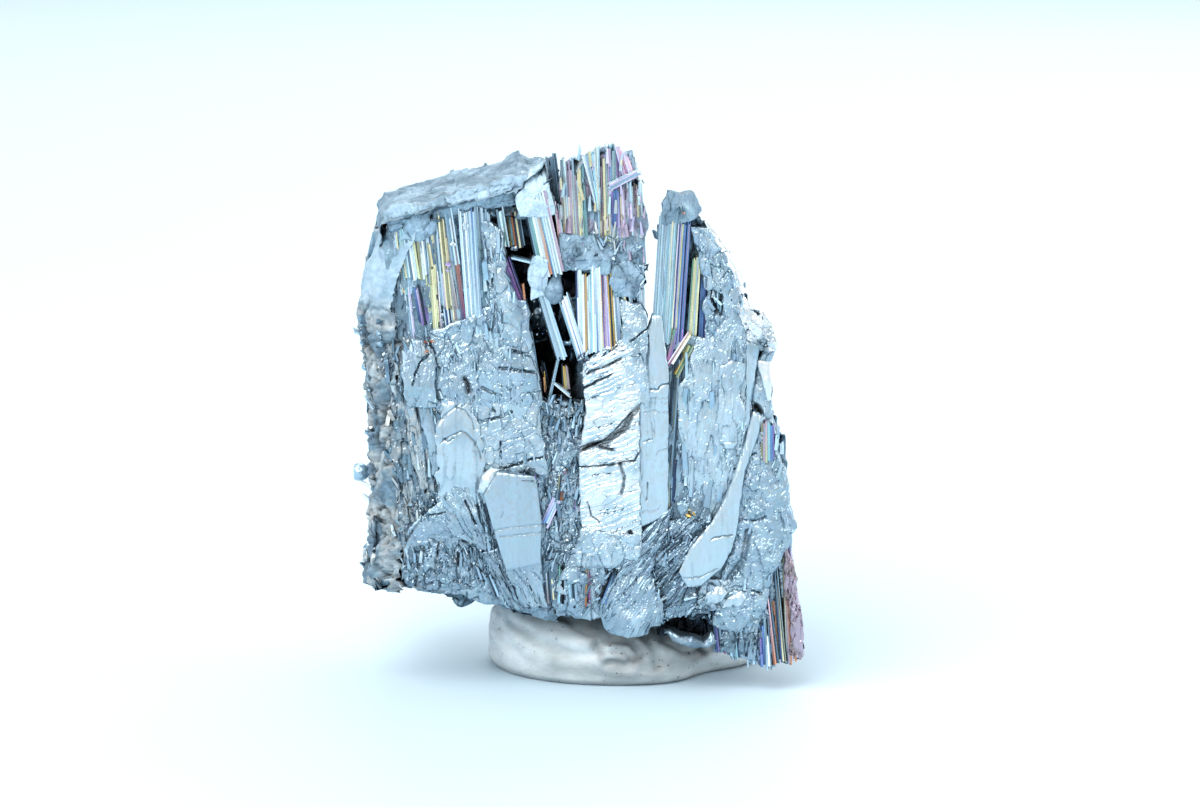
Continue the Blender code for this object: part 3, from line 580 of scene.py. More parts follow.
def lay_bundle(draft: Draft, foot: Array, head: Array, facing: Array, width: Point, turn: float, tip: Tip, hues: str,
               ragged: float) -> None:
    """Splits a face into laths and adds them.

    Args:
        draft: the piece they go to.
        foot: the middle of the face's lower end.
        head: the middle of its upper end.
        facing: which way the face looks.
        width: its width at the foot and at the head.
        turn: how far it is spun about its own length, in degrees.
        tip: how it ends at the head.
        hues: its colours from left to right.
        ragged: how unevenly its laths end.
    """
    chance = draft.dice.chance
    axis = unit(head - foot)
    facing = turned(unit(facing - axis * (facing @ axis)), axis, turn)
    side = np.cross(axis, facing)
    strips = read_hues(hues)
    share = max(width) / len(strips)
    parts = max(1, math.ceil(share / HABIT.widest))
    count = len(strips) * parts
    bounds = np.cumsum([chance.uniform(0.6, 1.4) for _ in range(count)])
    bounds = np.concatenate([[0.0], bounds / bounds[-1]]) - 0.5
    length = float(np.linalg.norm(head - foot))
    for index in range(count):
        low, high = strips[index // parts]
        middle = 0.5 * (bounds[index] + bounds[index + 1])
        reach = bounds[index + 1] - bounds[index]
        edge = abs(2.0 * middle) ** 3
        step = -chance.uniform(0.0, 0.06) - HABIT.round * edge
        rise = tip.value * middle * width[1] - abs(chance.gauss(0.0, ragged))
        rise = max(rise, -0.6 * length)
        start = foot + side * middle * width[0] + facing * step - axis * chance.uniform(0.0, 0.4)
        stop = head + side * middle * width[1] + facing * step + axis * rise
        tone = math.exp(chance.gauss(0.0, HABIT.tone))
        lath_width = (reach * width[0] * HABIT.overlap, reach * width[1] * HABIT.overlap)
        spin = turned(facing, axis, chance.gauss(0.0, HABIT.spin))
        depth = chance.uniform(*HABIT.depth)
        lift = tip.value + chance.uniform(-0.8, 0.8)
        snapped = chance.random() < HABIT.snapped
        if snapped and length > HABIT.shortest:
            at = chance.uniform(0.35, 0.85)
            middle_tint = blend(at, low, high)
            Lath(start, start + (stop - start) * at, spin, lath_width, depth, (low * tone, middle_tint * tone),
                 lift).lay(draft, chance)
            behind = facing * -chance.uniform(*HABIT.steps)
            start = start + (stop - start) * (at - 0.1) + behind
            stop = stop + behind
            low = middle_tint
            tone *= chance.uniform(0.7, 1.1)
        Lath(start, stop, spin, lath_width, depth, (low * tone, high * tone), lift).lay(draft, chance)


STRIAE = Facets((0.45, 1.0, 9.0), 0.012, 0.02, 0.02)
LEDGES = Facets((1.3, 1.0, 0.38), 0.04, 0.08, 0.04)
FIBRES = Facets((0.14, 1.0, 0.9), 0.03, 0.08, 0.05)
RIBS = Facets((0.5, 1.0, 3.0), 0.06, 0.06, 0.04)
SCALES = Facets((0.8, 1.0, 1.1), 0.05, 0.1, 0.05)
GRAINS = Facets((0.2, 1.0, 0.3), 0.04, 0.12, 0.06)
PLATES = Facets((0.8, 1.0, 1.2), 0.12, 0.17, 0.07)
FLAKES = Facets((0.22, 1.0, 0.4), 0.045, 0.15, 0.07)
BLADES = Facets((0.36, 1.0, 1.7), 0.15, 0.2, 0.1)
SPLINTERS = Facets((0.15, 1.0, 0.5), 0.04, 0.14, 0.08)
# How far back each ring of a sheet's rim lies, how tall its kinks are from one to the next and how
# far they stand out, how long one stretch of a hairline is, and how loose the outline of a broken
# sheet is.
RIM_DEPTHS = (0.0, 0.3, 0.7, 1.15)
KINK_PITCH = 0.42
KINK_HEIGHT = 0.08
HAIRLINE_STEP = 0.26
LOOSE_OUTLINE = 0.42


@dataclass(frozen=True)
class Crack:
    """A narrow split in a sheet, along points (x, z), darkened along it by shade: painted shade in the split."""

    line: Line
    width: float = 0.09
    depth: float = 0.22
    shade: float = 0.75


@dataclass(frozen=True)
class Sheet:
    """A broad crystal face between two edges, each a line of (x, z) from its foot to its head.

    proud reads from foot to head, crown is how far the middle stands ahead of the edges, rough
    scales the relief, hues are the colour of the face and the one it is blotched with, and splits
    is how many hairline cracks run over it and how steeply they rise to the right, in degrees.
    """

    left: Line
    right: Line
    proud: tuple[float, ...]
    relief: Relief
    hues: str
    crown: float = 0.08
    rough: float = 1.0
    tilt: float = 0.0
    cracks: tuple[Crack, ...] = ()
    step: float = 0.095
    slant: float = 0.0
    ragged: float = 0.06
    splits: tuple[int, float] = (0, 0.0)

    def surface(self, points: Array) -> tuple[Array, Array]:
        """Reads the relief.

        Args:
            points: (..., 3) places on the sheet, with y at 0.

        Returns:
            How far it stands out at each, and what its colour is multiplied by.
        """
        grain = points.copy()
        grain[..., 0] += 0.1 * NOISE.at(points, 0.8) - self.slant * points[..., 2]
        grain[..., 2] += 0.15 * NOISE.at(points + 13.0, 0.8)
        if self.relief is SMOOTH:
            height, tone = STRIAE.read(grain, True)
            return height + 0.03 * NOISE.layers(points, 1.6), tone
        if self.relief is KINKED:
            bent = points.copy()
            bent[..., 2] += 0.3 * NOISE.at(points, (1.5, 1.5, 0.9)) - 0.35 * points[..., 0]
            tooth = zigzag(bent[..., 2] / KINK_PITCH)
            strength = smooth_step(-0.45, 0.4, NOISE.at(points + 31.0, (2.4, 2.0, 1.1)))
            height, tone = LEDGES.read(bent, True)
            shade = 1.0 - 0.3 * strength * smooth_step(0.85, 1.0, tooth)
            return height + KINK_HEIGHT * strength * tooth**3, tone * shade
        coarse, fine = {FIBROUS: (RIBS, FIBRES), RUMPLED: (SCALES, GRAINS), BROKEN: (PLATES, FLAKES),
                        SHARDS: (BLADES, SPLINTERS)}[self.relief]
        height, tone = coarse.read(grain, True)
        more, more_tone = fine.read(grain + 5.0, True)
        swell = 0.3 * NOISE.layers(points, 2.0, 3) if self.relief is RUMPLED else 0.0
        return height + more + swell, tone * more_tone

    def hairlines(self) -> tuple[Crack, ...]:
        """Scatters hairline cracks over the sheet, each wavering as it runs.

        Returns:
            The cracks.
        """
        count, rise = self.splits
        chance = random.Random(f"{self.left}{count}")
        found = []
        for _ in range(count):
            share = np.array([chance.uniform(0.04, 0.96)])
            across = chance.uniform(-0.05, 0.7)
            at = (resample(self.left, share) * (1.0 - across) + resample(self.right, share) * across)[0]
            line = [tuple(at)]
            for _ in range(chance.randint(4, 10)):
                angle = math.radians(rise + chance.gauss(0.0, 20.0))
                at = at + np.array([math.cos(angle), math.sin(angle)]) * HAIRLINE_STEP
                line.append(tuple(at))
            found.append(Crack(tuple(line), chance.uniform(0.02, 0.045), 0.06, chance.uniform(0.15, 0.45)))
        return tuple(found)

    def lay_rim(self, draft: Draft, surface: Array, colours: Array) -> None:
        """Adds the broken rim that runs back from the edges, and closes it behind.

        Args:
            draft: the piece it goes to.
            surface: (rows, columns, 3) places on the face.
            colours: (rows, columns, 3) its colours.
        """
        index = np.arange(surface.size // 3).reshape(surface.shape[:2])
        border = np.concatenate([index[0, :-1], index[:-1, -1], index[-1, :0:-1], index[:0:-1, 0]])
        border = np.append(border[::2], border[0])
        walls = surface.reshape(-1, 3)[border] + np.array(RIM_DEPTHS)[:, None, None] * (0.0, 1.0, 0.0)
        walls[1:, :, 0] += 0.14 * NOISE.at(walls[1:], 0.5)
        walls[1:, :, 2] += 0.14 * NOISE.at(walls[1:] + 40.0, 0.5)
        # The rim walls are painted darker than the face, as painted shade.
        draft.add_grid(walls, colours.reshape(-1, 3)[border] * (0.8 + 0.3 * NOISE.at(walls, 0.5))[..., None])
        few = np.ix_(*(np.unique(np.append(np.arange(0, count, 5), count - 1)) for count in index.shape))
        # The back is painted darker still, as painted shade.
        draft.add_grid((surface[few] + (0.0, RIM_DEPTHS[-1], 0.0))[::-1], 0.7 * colours[few][::-1])

    def lay(self, draft: Draft) -> None:
        """Adds the sheet.

        Args:
            draft: the piece it goes to.
        """
        shares = np.linspace(0.0, 1.0, 24)
        left, right = resample(self.left, shares), resample(self.right, shares)
        length = max(np.linalg.norm(np.diff(side, axis=0), axis=1).sum() for side in (left, right))
        breadth = np.linalg.norm(right - left, axis=1).max()
        rows = max(4, math.ceil(length / self.step))
        columns = max(3, math.ceil(breadth / self.step))
        v, u = np.linspace(0.0, 1.0, rows + 1), np.linspace(0.0, 1.0, columns + 1)
        left, right = resample(self.left, v), resample(self.right, v)
        grid = left[:, None] * (1.0 - u)[None, :, None] + right[:, None] * u[None, :, None]
        x, z = grid[..., 0], grid[..., 1]
        flat = np.stack([x, np.zeros_like(x), z], axis=-1)
        rim_u = np.minimum(u, 1.0 - u)[None, :] * np.linalg.norm(right - left, axis=1)[:, None]
        rim_v = np.minimum(v, 1.0 - v)[:, None] * length
        rim = np.minimum(rim_u, rim_v)
        sway = self.ragged * np.exp(-rim / 0.25)
        loose = (0.0 if self.relief in (SMOOTH, KINKED) else LOOSE_OUTLINE) * np.exp(-rim / 0.7)
        x = x + sway * NOISE.layers(flat + 3.0, 0.5) + loose * NOISE.layers(flat + 60.0, 1.5, 3)
        z = z + sway * 1.6 * NOISE.layers(flat + 17.0, 0.5) + 1.5 * loose * NOISE.layers(flat + 70.0, 1.5, 3)
        levels = np.interp(v, np.linspace(0.0, 1.0, len(self.proud)), self.proud)
        proud = levels[:, None] + self.crown * (1.0 - (2.0 * u - 1.0) ** 2)[None, :]
        proud = proud + self.tilt * (u - 0.5)[None, :]
        relief, tone = self.surface(flat)
        proud = proud + self.rough * relief - 0.08 * np.exp(-rim / 0.07)
        mix = smooth_step(-0.2, 0.45, NOISE.layers(flat + 50.0, 1.1))[..., None]
        (tint, _), (blotch, _) = read_hues(self.hues)
        colours = blend(mix, tint, blotch) * tone[..., None]
        # Each crack darkens the colour along it: painted shade in the split, darkest in the wide dark hollows.
        for crack in self.cracks + self.hairlines():
            gap = distance_to(crack.line, x + 0.05 * NOISE.at(flat, 0.3), z + 0.05 * NOISE.at(flat + 5.0, 0.3))
            cut = np.exp(-((gap / crack.width) ** 2))
            proud = proud - crack.depth * cut
            colours = colours * (1.0 - crack.shade * cut[..., None])
        surface = np.stack([x, face_y(z, proud), z], axis=-1)
        draft.add_grid(surface, colours, self.relief is SMOOTH)
        self.lay_rim(draft, surface, colours)


def scatter_chips(draft: Draft, centres: Array, sizes: Array, tints: Array, flatness: float) -> None:
    """Adds angular chips, each with its own random stance.

    Args:
        draft: the piece they go to.
        centres: (n, 3) places.
        sizes: (n,) lengths.
        tints: (n, 3) colours.
        flatness: how thick a chip is for its length.
    """
    count = len(centres)
    generator = draft.dice.generator
    cube = np.array([[x, y, z] for z in (-0.5, 0.5) for y in (-0.5, 0.5) for x in (-0.5, 0.5)])
    shape = cube[None] * generator.uniform(0.45, 1.25, (count, 8, 1))
    stretch = np.stack([np.ones(count), generator.uniform(0.5, 1.0, count),
                        flatness * generator.uniform(0.6, 1.3, count)], axis=1)
    shape = shape * stretch[:, None, :] * sizes[:, None, None]
    q = generator.normal(size=(count, 4))
    q /= np.linalg.norm(q, axis=1, keepdims=True)
    w, x, y, z = q.T
    spin = np.stack([
        np.stack([1 - 2 * (y * y + z * z), 2 * (x * y - w * z), 2 * (x * z + w * y)], axis=1),
        np.stack([2 * (x * y + w * z), 1 - 2 * (x * x + z * z), 2 * (y * z - w * x)], axis=1),
        np.stack([2 * (x * z - w * y), 2 * (y * z + w * x), 1 - 2 * (x * x + y * y)], axis=1)], axis=1)
    corners = np.einsum("nij,nkj->nki", spin, shape) + centres[:, None, :]
    box = np.array([[0, 2, 3, 1], [4, 5, 7, 6], [0, 1, 5, 4], [2, 6, 7, 3], [0, 4, 6, 2], [1, 3, 7, 5]])
    faces = (box[None] + 8 * np.arange(count)[:, None, None]).reshape(-1, 4)
    draft.add(corners.reshape(-1, 3), faces, np.repeat(tints, 8, axis=0))


def spots_in(outline: Line, count: int, generator: np.random.Generator) -> Array:
    """Scatters places inside an outline.

    Args:
        outline: its corners.
        count: how many places are wanted.
        generator: the seeded source.

    Returns:
        (n, 2) places, where n is at most count.
    """
    low, high = np.min(outline, axis=0), np.max(outline, axis=0)
    spots = generator.uniform(low, high, (count * 6, 2))
    return spots[inside(outline, spots[:, 0], spots[:, 1])][:count]


@dataclass(frozen=True)
class Rubble:
    """Broken chips over part of the front, inside an outline of (x, z)."""

    outline: Line
    count: int
    size: Point
    proud: Point
    hues: str
    flatness: float = 0.6

    def lay(self, draft: Draft) -> None:
        """Adds its chips.

        Args:
            draft: the piece they go to.
        """
        generator = draft.dice.generator
        spots = spots_in(self.outline, self.count, generator)
        flat = np.stack([spots[:, 0], np.zeros(len(spots)), spots[:, 1]], axis=1)
        swell = 0.5 + 0.5 * NOISE.at(flat + 23.0, 1.1)
        proud = self.proud[0] + (self.proud[1] - self.proud[0]) * swell
        proud = proud + generator.normal(0.0, 0.06, len(spots))
        sizes = self.size[0] + (self.size[1] - self.size[0]) * generator.random(len(spots)) ** 2
        centres = np.stack([spots[:, 0], face_y(spots[:, 1], proud), spots[:, 1]], axis=1)
        palette = np.array(read_palette(self.hues))
        tints = palette[generator.integers(0, len(palette), len(spots))]
        tints = tints * np.exp(generator.normal(0.0, 0.15, (len(spots), 1)))
        scatter_chips(draft, centres, sizes, tints, self.flatness)


@dataclass(frozen=True)
class Shards:
    """Slivers that lie along the grain over part of the front, inside an outline of (x, z).

    size is the range of their lengths, lean is how far their heads tip to the right in degrees,
    and spread is how much each strays from that.
    """

    outline: Line
    count: int
    size: Point
    proud: Point
    lean: float
    hues: str
    spread: float = 12.0

    def lay(self, draft: Draft) -> None:
        """Adds its slivers.

        Args:
            draft: the piece they go to.
        """
        generator = draft.dice.generator
        chance = random.Random(int(generator.integers(1 << 30)))
        spots = spots_in(self.outline, self.count, generator)
        palette = read_palette(self.hues)
        for x, z in spots:
            angle = math.radians(self.lean + chance.gauss(0.0, self.spread))
            aim = np.array([math.sin(angle), chance.gauss(0.02, 0.12), math.cos(angle)])
            length = chance.uniform(*self.size)
            width = length * chance.uniform(0.12, 0.3)
            proud = chance.uniform(*self.proud)
            middle = np.array([x, face_y(z, proud), z])
            tint = chance.choice(palette) * math.exp(chance.gauss(0.0, 0.12))
            Lath(middle - aim * 0.5 * length, middle + aim * 0.5 * length, turned(FRONT, aim, chance.gauss(0.0, 20.0)),
                 (width, width * chance.uniform(0.4, 1.0)), width * 1.4, (tint, tint),
                 chance.uniform(-1.6, 1.6)).lay(draft, chance)


class Socket:
    """A shader socket whose arithmetic adds Math nodes."""

    def __init__(self, graph: "Graph", link: bpy.types.NodeSocket) -> None:
        """Wraps a link of the graph."""
        self.graph = graph
        self.link = link

    def _math(self, operation: str, first: "Value", second: "Value") -> "Socket":
        """One Math node."""
        return self.graph.node("ShaderNodeMath", {"operation": operation}, {0: first, 1: second})

    def __add__(self, other: "Value") -> "Socket":
        """self + other."""
        return self._math("ADD", self, other)

    def __radd__(self, other: "Value") -> "Socket":
        """other + self."""
        return self._math("ADD", other, self)

    def __sub__(self, other: "Value") -> "Socket":
        """self - other."""
        return self._math("SUBTRACT", self, other)

    def __rsub__(self, other: "Value") -> "Socket":
        """other - self."""
        return self._math("SUBTRACT", other, self)

    def __mul__(self, other: "Value") -> "Socket":
        """self * other."""
        return self._math("MULTIPLY", self, other)

    def __rmul__(self, other: "Value") -> "Socket":
        """other * self."""
        return self._math("MULTIPLY", other, self)


Value = Socket | float | tuple[float, ...]


class Graph:
    """The nodes of one material, with its Principled shader."""

    def __init__(self, name: str) -> None:
        """Makes the material.

        Args:
            name: the material's name.
        """
        self.material = bpy.data.materials.new(name)
        self.material.use_nodes = True
        self.tree = self.material.node_tree
        self.shader = self.tree.nodes["Principled BSDF"]

    def node(self, kind: str, settings: dict[str, object] | None = None,
             inputs: dict[int | str, Value] | None = None, output: int | str = 0) -> Socket:
        """Adds a node.

        Args:
            kind: its type.
            settings: what is set on it first.
            inputs: the value or link of each socket.
            output: which of its results is wanted.

        Returns:
            That result.
        """
        made = self.tree.nodes.new(kind)
        for key, value in (settings or {}).items():
            setattr(made, key, value)
        for key, value in (inputs or {}).items():
            self.feed(made.inputs[key], value)
        return Socket(self, made.outputs[output])

    def feed(self, socket: bpy.types.NodeSocket, value: Value) -> None:
        """Links or sets one input.

        Args:
            socket: the input.
            value: the result it is linked to, or the value it is set to.
        """
        if isinstance(value, Socket):
            self.tree.links.new(value.link, socket)
        else:
            socket.default_value = value

    def place_mm(self, stretch: Triple = (1.0, 1.0, 1.0)) -> Socket:
        """Reads the surface's own place in millimetres.

        Args:
            stretch: how long one unit is along each axis.

        Returns:
            The place, in those units.
        """
        place_link = self.node("ShaderNodeTexCoord", output="Object")
        scale = tuple(1000.0 / part for part in stretch)
        return self.node("ShaderNodeMapping", {"vector_type": "POINT"}, {"Vector": place_link, "Scale": scale})

    def noise(self, vector: Socket, scale: float, detail: float, roughness: float = 0.55) -> Socket:
        """Noise from 0 to 1."""
        return self.node("ShaderNodeTexNoise", {}, {"Vector": vector, "Scale": scale, "Detail": detail,
                                                    "Roughness": roughness})

    def mix(self, factor: Value, first: Value, second: Value, mode: str = "MIX") -> Socket:
        """Blends two colours."""
        return self.node("ShaderNodeMix", {"data_type": "RGBA", "blend_type": mode, "clamp_factor": True},
                         {0: factor, 6: first, 7: second}, 2)

    def scaled(self, colour: Socket, factor: Value) -> Socket:
        """A colour times a number."""
        return self.node("ShaderNodeVectorMath", {"operation": "SCALE"}, {0: colour, "Scale": factor})

    def between(self, value: Socket, low: float, high: float, to_low: float, to_high: float) -> Socket:
        """Maps low..high to to_low..to_high and holds it there."""
        return self.node("ShaderNodeMapRange", {"clamp": True}, {0: value, 1: low, 2: high, 3: to_low, 4: to_high})

    def set(self, **values: Value) -> None:
        """Feeds the Principled shader, with _ for the spaces in a socket's name."""
        for key, value in values.items():
            self.feed(self.shader.inputs[key.replace("_", " ")], value)


@dataclass(frozen=True)
class CrystalFinish:
    """Bare stibnite: metallic, tarnished where its face is tinted, with lines along its length.

    gain and purity scale its colour and its saturation, streak and patch are how much lines and
    blotches change it, and grain and bump are how rough its relief is and how deep. crevice is how
    dark it goes where little light gets in, within crevice_reach. facet is the width and length of
    its finest flat facets, and glint is how far those tilt.
    """

    name: str
    metallic: float
    roughness: float
    streak: float
    patch: float
    grain: float
    facet: Point
    glint: float
    crevice: float = 0.6
    gain: float = 1.0
    purity: float = 1.05
    line_width: float = 0.07
    hue_drift: float = 0.03
    crevice_reach: float = 0.9
    bump: float = 0.05

    def build(self) -> Material:
        """Makes the material, whose colours come from each piece's own tint.

        Returns:
            The material.
        """
        graph = Graph(self.name)
        tint = graph.node("ShaderNodeAttribute", {"attribute_name": "tint"}, output="Color")
        lines = graph.noise(graph.place_mm((self.line_width, self.line_width, 40.0 * self.line_width)), 1.0, 2.0)
        blotches = graph.noise(graph.place_mm((0.8, 0.8, 1.4)), 1.0, 5.0, 0.65)
        speckle = graph.noise(graph.place_mm(), 9.0, 3.0, 0.7)
        drift = 0.5 + (blotches - 0.5) * (2.0 * self.hue_drift)
        tint = graph.node("ShaderNodeHueSaturation", {}, {"Hue": drift, "Saturation": self.purity, "Color": tint})
        tone = 1.0 + (lines - 0.5) * (2.0 * self.streak) + (blotches - 0.5) * (2.0 * self.patch)
        width, length = self.facet
        cells = graph.node("ShaderNodeTexVoronoi", {}, {"Vector": graph.place_mm((width, width, length)), "Scale": 1.0},
                           "Color")
        tilt = graph.node("ShaderNodeVectorMath", {"operation": "SUBTRACT"}, {0: cells, 1: (0.5, 0.5, 0.5)})
        normal = graph.node("ShaderNodeVectorMath", {"operation": "ADD"}, {
            0: graph.node("ShaderNodeNewGeometry", output="Normal"), 1: graph.scaled(tilt, self.glint)})
        normal = graph.node("ShaderNodeVectorMath", {"operation": "NORMALIZE"}, {0: normal})
        tone = tone * graph.between(speckle, 0.3, 0.42, 1.0 - 0.8 * self.patch, 1.0)
        # Painted shade: the colour darkens where ambient occlusion finds crevices.
        painted_shade = graph.node("ShaderNodeAmbientOcclusion", {"samples": 6}, {"Distance": self.crevice_reach * MM}, "AO")
        tone = tone * graph.between(painted_shade, 0.1, 0.85, 1.0 - self.crevice, 1.05)
        graph.set(Base_Color=graph.scaled(tint, tone * self.gain), Metallic=self.metallic)
        graph.set(Roughness=self.roughness + (blotches - 0.5) * 0.2 + (speckle - 0.5) * 0.15)
        height = lines * self.streak + speckle * self.grain + blotches * 0.4
        bump = graph.node("ShaderNodeBump", {}, {"Strength": 0.5, "Distance": self.bump * MM, "Height": height,
                                                  "Normal": normal})
        graph.set(Normal=bump)
        return graph.material


@dataclass(frozen=True)
class PuttyFinish:
    """Dirty white mounting putty: soft, waxy and mottled, with dust pressed into it."""

    name: str = "mounting_putty"
    clean_unshaded: Triple = (0.66, 0.74, 0.77)
    soiled: Triple = (0.38, 0.44, 0.46)
    dust: Triple = (0.07, 0.085, 0.1)
    crevice_reach: float = 1.5
    bump: float = 0.08

    def build(self) -> Material:
        """Makes the material.

        Returns:
            The material.
        """
        graph = Graph(self.name)
        smears = graph.noise(graph.place_mm((2.6, 2.6, 1.0)), 1.0, 5.0, 0.6)
        fine = graph.noise(graph.place_mm(), 7.0, 4.0, 0.6)
        specks = graph.noise(graph.place_mm(), 3.2, 2.0, 0.5)
        dirt = graph.noise(graph.place_mm((5.0, 5.0, 3.0)), 1.0, 2.0)
        colour = graph.mix(graph.between(smears, 0.35, 0.72, 0.0, 0.75), (*self.clean_unshaded, 1.0), (*self.soiled, 1.0))
        spotted = graph.between(specks, 0.66, 0.7, 0.0, 0.9) * graph.between(dirt, 0.4, 0.62, 0.15, 1.0)
        colour = graph.mix(spotted, colour, (*self.dust, 1.0))
        colour = graph.mix(1.0, colour, graph.node("ShaderNodeAttribute", {"attribute_name": "tint"}), "MULTIPLY")
        # Painted shade: the putty's colour darkens where ambient occlusion finds creases and the block above it.
        painted_shade = graph.node("ShaderNodeAmbientOcclusion", {"samples": 6}, {"Distance": self.crevice_reach * MM}, "AO")
        graph.set(Base_Color=graph.scaled(colour, graph.between(painted_shade, 0.1, 0.9, 0.45, 1.0)), Metallic=0.0)
        graph.set(Roughness=0.45 + smears * 0.3, Subsurface_Weight=0.12, Subsurface_Scale=0.8 * MM)
        height = smears * 0.8 + fine * 0.2
        bump = graph.node("ShaderNodeBump", {}, {"Strength": 0.5, "Distance": self.bump * MM, "Height": height})
        graph.set(Normal=bump)
        return graph.material


class Finish(Enum):
    """The finishes that the pieces wear."""

    FACES = CrystalFinish("bright_faces", 0.8, 0.32, 0.05, 0.08, 0.3, (0.14, 0.26), 0.16, 0.32, gain=0.88, purity=0.96)
    COLUMNS = CrystalFinish("tarnished_columns", 0.75, 0.26, 0.14, 0.08, 0.12, (0.06, 1.4), 0.14, 0.28, gain=1.06)
    RUBBLE = CrystalFinish("snapped_chips", 0.75, 0.34, 0.06, 0.12, 0.3, (0.12, 0.3), 0.35, 0.42)
    CORE = CrystalFinish("rough_stibnite", 0.7, 0.4, 0.08, 0.16, 0.5, (0.16, 0.4), 0.4, 0.5)
    CRUST = CrystalFinish("granular_crust", 0.3, 0.62, 0.03, 0.14, 0.6, (0.14, 0.16), 0.3, 0.45)
    PUTTY = PuttyFinish()


# Thin tarnished columns of the left panel; their heads lean left under the rough slab.
LEFT_PANEL = (
    Bundle((-14.13, 29.84), (-14.67, 34.81), (2.0, 1.9), -0.12, -6, "beige steel pale straw teal steel pale beige "
        "slate"),
    Bundle((-11.25, 25.95), (-12.05, 35.53), (3.0, 2.8), -0.05, 0, "steel beige lime pale slate straw steel pale "
        "lilac steel straw brown>beige pale steel", 0.6),
    Bundle((-8.47, 26.68), (-9.0, 35.97), (2.0, 1.9), 0.1, 4, "pale steel pale slate steel pale steel pale", 0.6),
    Bundle((-13.68, 30.94), (-14.23, 34.88), (1.1, 1.0), 0.12, -4, "straw>cyan teal pale slate white pale white lime"),
    Bundle((-12.81, 31.01), (-13.08, 33.64), (0.65, 0.6), 0.1, 6, "olive white white steel"),
    Bundle((-12.22, 31.74), (-12.5, 33.64), (0.45, 0.4), 0.05, -4, "olive straw slate"),
    Bundle((-11.01, 28.81), (-11.61, 35.53), (0.45, 0.42), 0.22, 5, "straw olive straw", tip=RISE_LEFT),
    Bundle((-11.91, 25.29), (-12.3, 31.74), (0.42, 0.36), 0.15, -6, "lime straw lime"),
    Bundle((-11.47, 25.14), (-11.86, 31.74), (0.45, 0.42), 0.0, 8, "dark brown pink>white dark steel"),
    Bundle((-10.71, 28.81), (-11.2, 32.04), (0.6, 0.5), 0.1, -6, "olive beige brown>beige"),
    Bundle((-10.88, 26.02), (-11.22, 28.89), (0.75, 0.72), 0.12, 10, "dark pale navy white dark pale"),
    Bundle((-10.55, 32.04), (-11.1, 35.9), (0.62, 0.6), 0.2, -8, "steel slate pale brown pale", tip=RISE_RIGHT),
    Bundle((-9.92, 27.49), (-10.61, 33.64), (0.3, 0.3), 0.16, 8, "navy>orange magenta>orange"),
    Bundle((-9.35, 26.17), (-10.01, 36.04), (0.66, 0.66), 0.3, 4, "pale white steel white pale", tip=RISE_LEFT),
    Bundle((-8.83, 26.46), (-9.36, 36.04), (0.62, 0.6), 0.45, -3, "steel pale pale>blue pale steel"),
    Bundle((-8.38, 29.69), (-8.85, 36.12), (0.7, 0.66), 0.25, 14, "steel green>pale slate pale"),
    Bundle((-11.04, 23.66), (-11.46, 26.61), (0.7, 0.65), 0.1, -5, "brown copper>magenta violet steel pink"),
    Bundle((-13.58, 25.73), (-14.05, 30.35), (0.85, 0.8), -0.1, -8, "pale steel lilac slate", 0.8, RISE_LEFT),
    Bundle((-12.84, 27.64), (-13.32, 30.43), (0.75, 0.7), 0.05, 12, "navy>blue violet>lilac dark violet>navy", 0.7),
    Bundle((-12.41, 26.02), (-12.75, 29.4), (0.6, 0.6), -0.2, -8, "dark slate navy", 0.7, CHIP),
    Bundle((-14.31, 25.73), (-15.15, 30.28), (1.2, 1.1), -0.4, -14, "beige steel pale beige", 0.9, CHIP),
    Bundle((-15.16, 29.11), (-15.54, 34.52), (1.1, 1.0), -0.7, -24, "beige steel beige", 0.6, RISE_RIGHT),
)
# Plates, a recessed group of colours and a leaning violet prism between the left panel and the cleft.
SHOULDER = (
    Bundle((-6.18, 33.13), (-6.67, 36.62), (1.4, 1.3), -0.6, -5, "white>teal dark gold>dark teal copper dark straw "
        "dark slate", 0.6, RISE_LEFT),
    Bundle((-5.61, 28.96), (-6.84, 32.4), (0.6, 0.75), 0.15, 30, "violet magenta>violet dark violet dark"),
    Bundle((-5.47, 28.96), (-5.61, 30.5), (0.16, 0.16), 0.2, 10, "orange"),
    Bundle((-4.68, 23.66), (-5.18, 27.05), (0.55, 0.5), 0.25, 26, "pale steel dark slate", tip=RISE_LEFT),
    Bundle((-4.51, 31.89), (-6.69, 32.4), (0.3, 0.24), 0.5, 0, "pale slate"),
    Bundle((-6.9, 33.35), (-7.33, 36.12), (0.6, 0.55), 0.0, 10, "steel pale green>steel pale", 0.5),
)
# The pale blade that leans left, and the slanting prisms under it beside the cleft.
LEANING_BLADE = (
    Bundle((-3.57, 31.3), (-4.79, 36.84), (1.95, 1.85), 0.95, -5, "dark teal>slate green>teal white beige "
        "orange>beige blue>cyan pale white pale white mauve", 0.3, RISE_RIGHT),
    Bundle((-3.05, 35.53), (-3.55, 39.67), (0.75, 0.7), -1.6, 6, "dark>slate black>slate slate dark>slate", 0.5, CHIP),
    Bundle((-2.76, 33.2), (-3.19, 36.41), (0.45, 0.35), 0.25, 12, "orange>white pink lilac>pink pale", 0.4, RISE_LEFT),
    Bundle((-2.78, 25.21), (-4.51, 30.87), (0.75, 0.6), 1.05, 10, "steel pale steel>slate pale steel", 0.2),
    Bundle((-1.39, 25.14), (-2.77, 29.55), (0.75, 0.8), 0.85, -16, "steel pale white blue>lilac white lilac>white "
        "pale", 0.3, RISE_RIGHT),
    Bundle((-2.84, 29.25), (-3.2, 31.3), (0.6, 0.5), 0.0, 20, "slate dark slate", 0.4, RISE_LEFT),
)
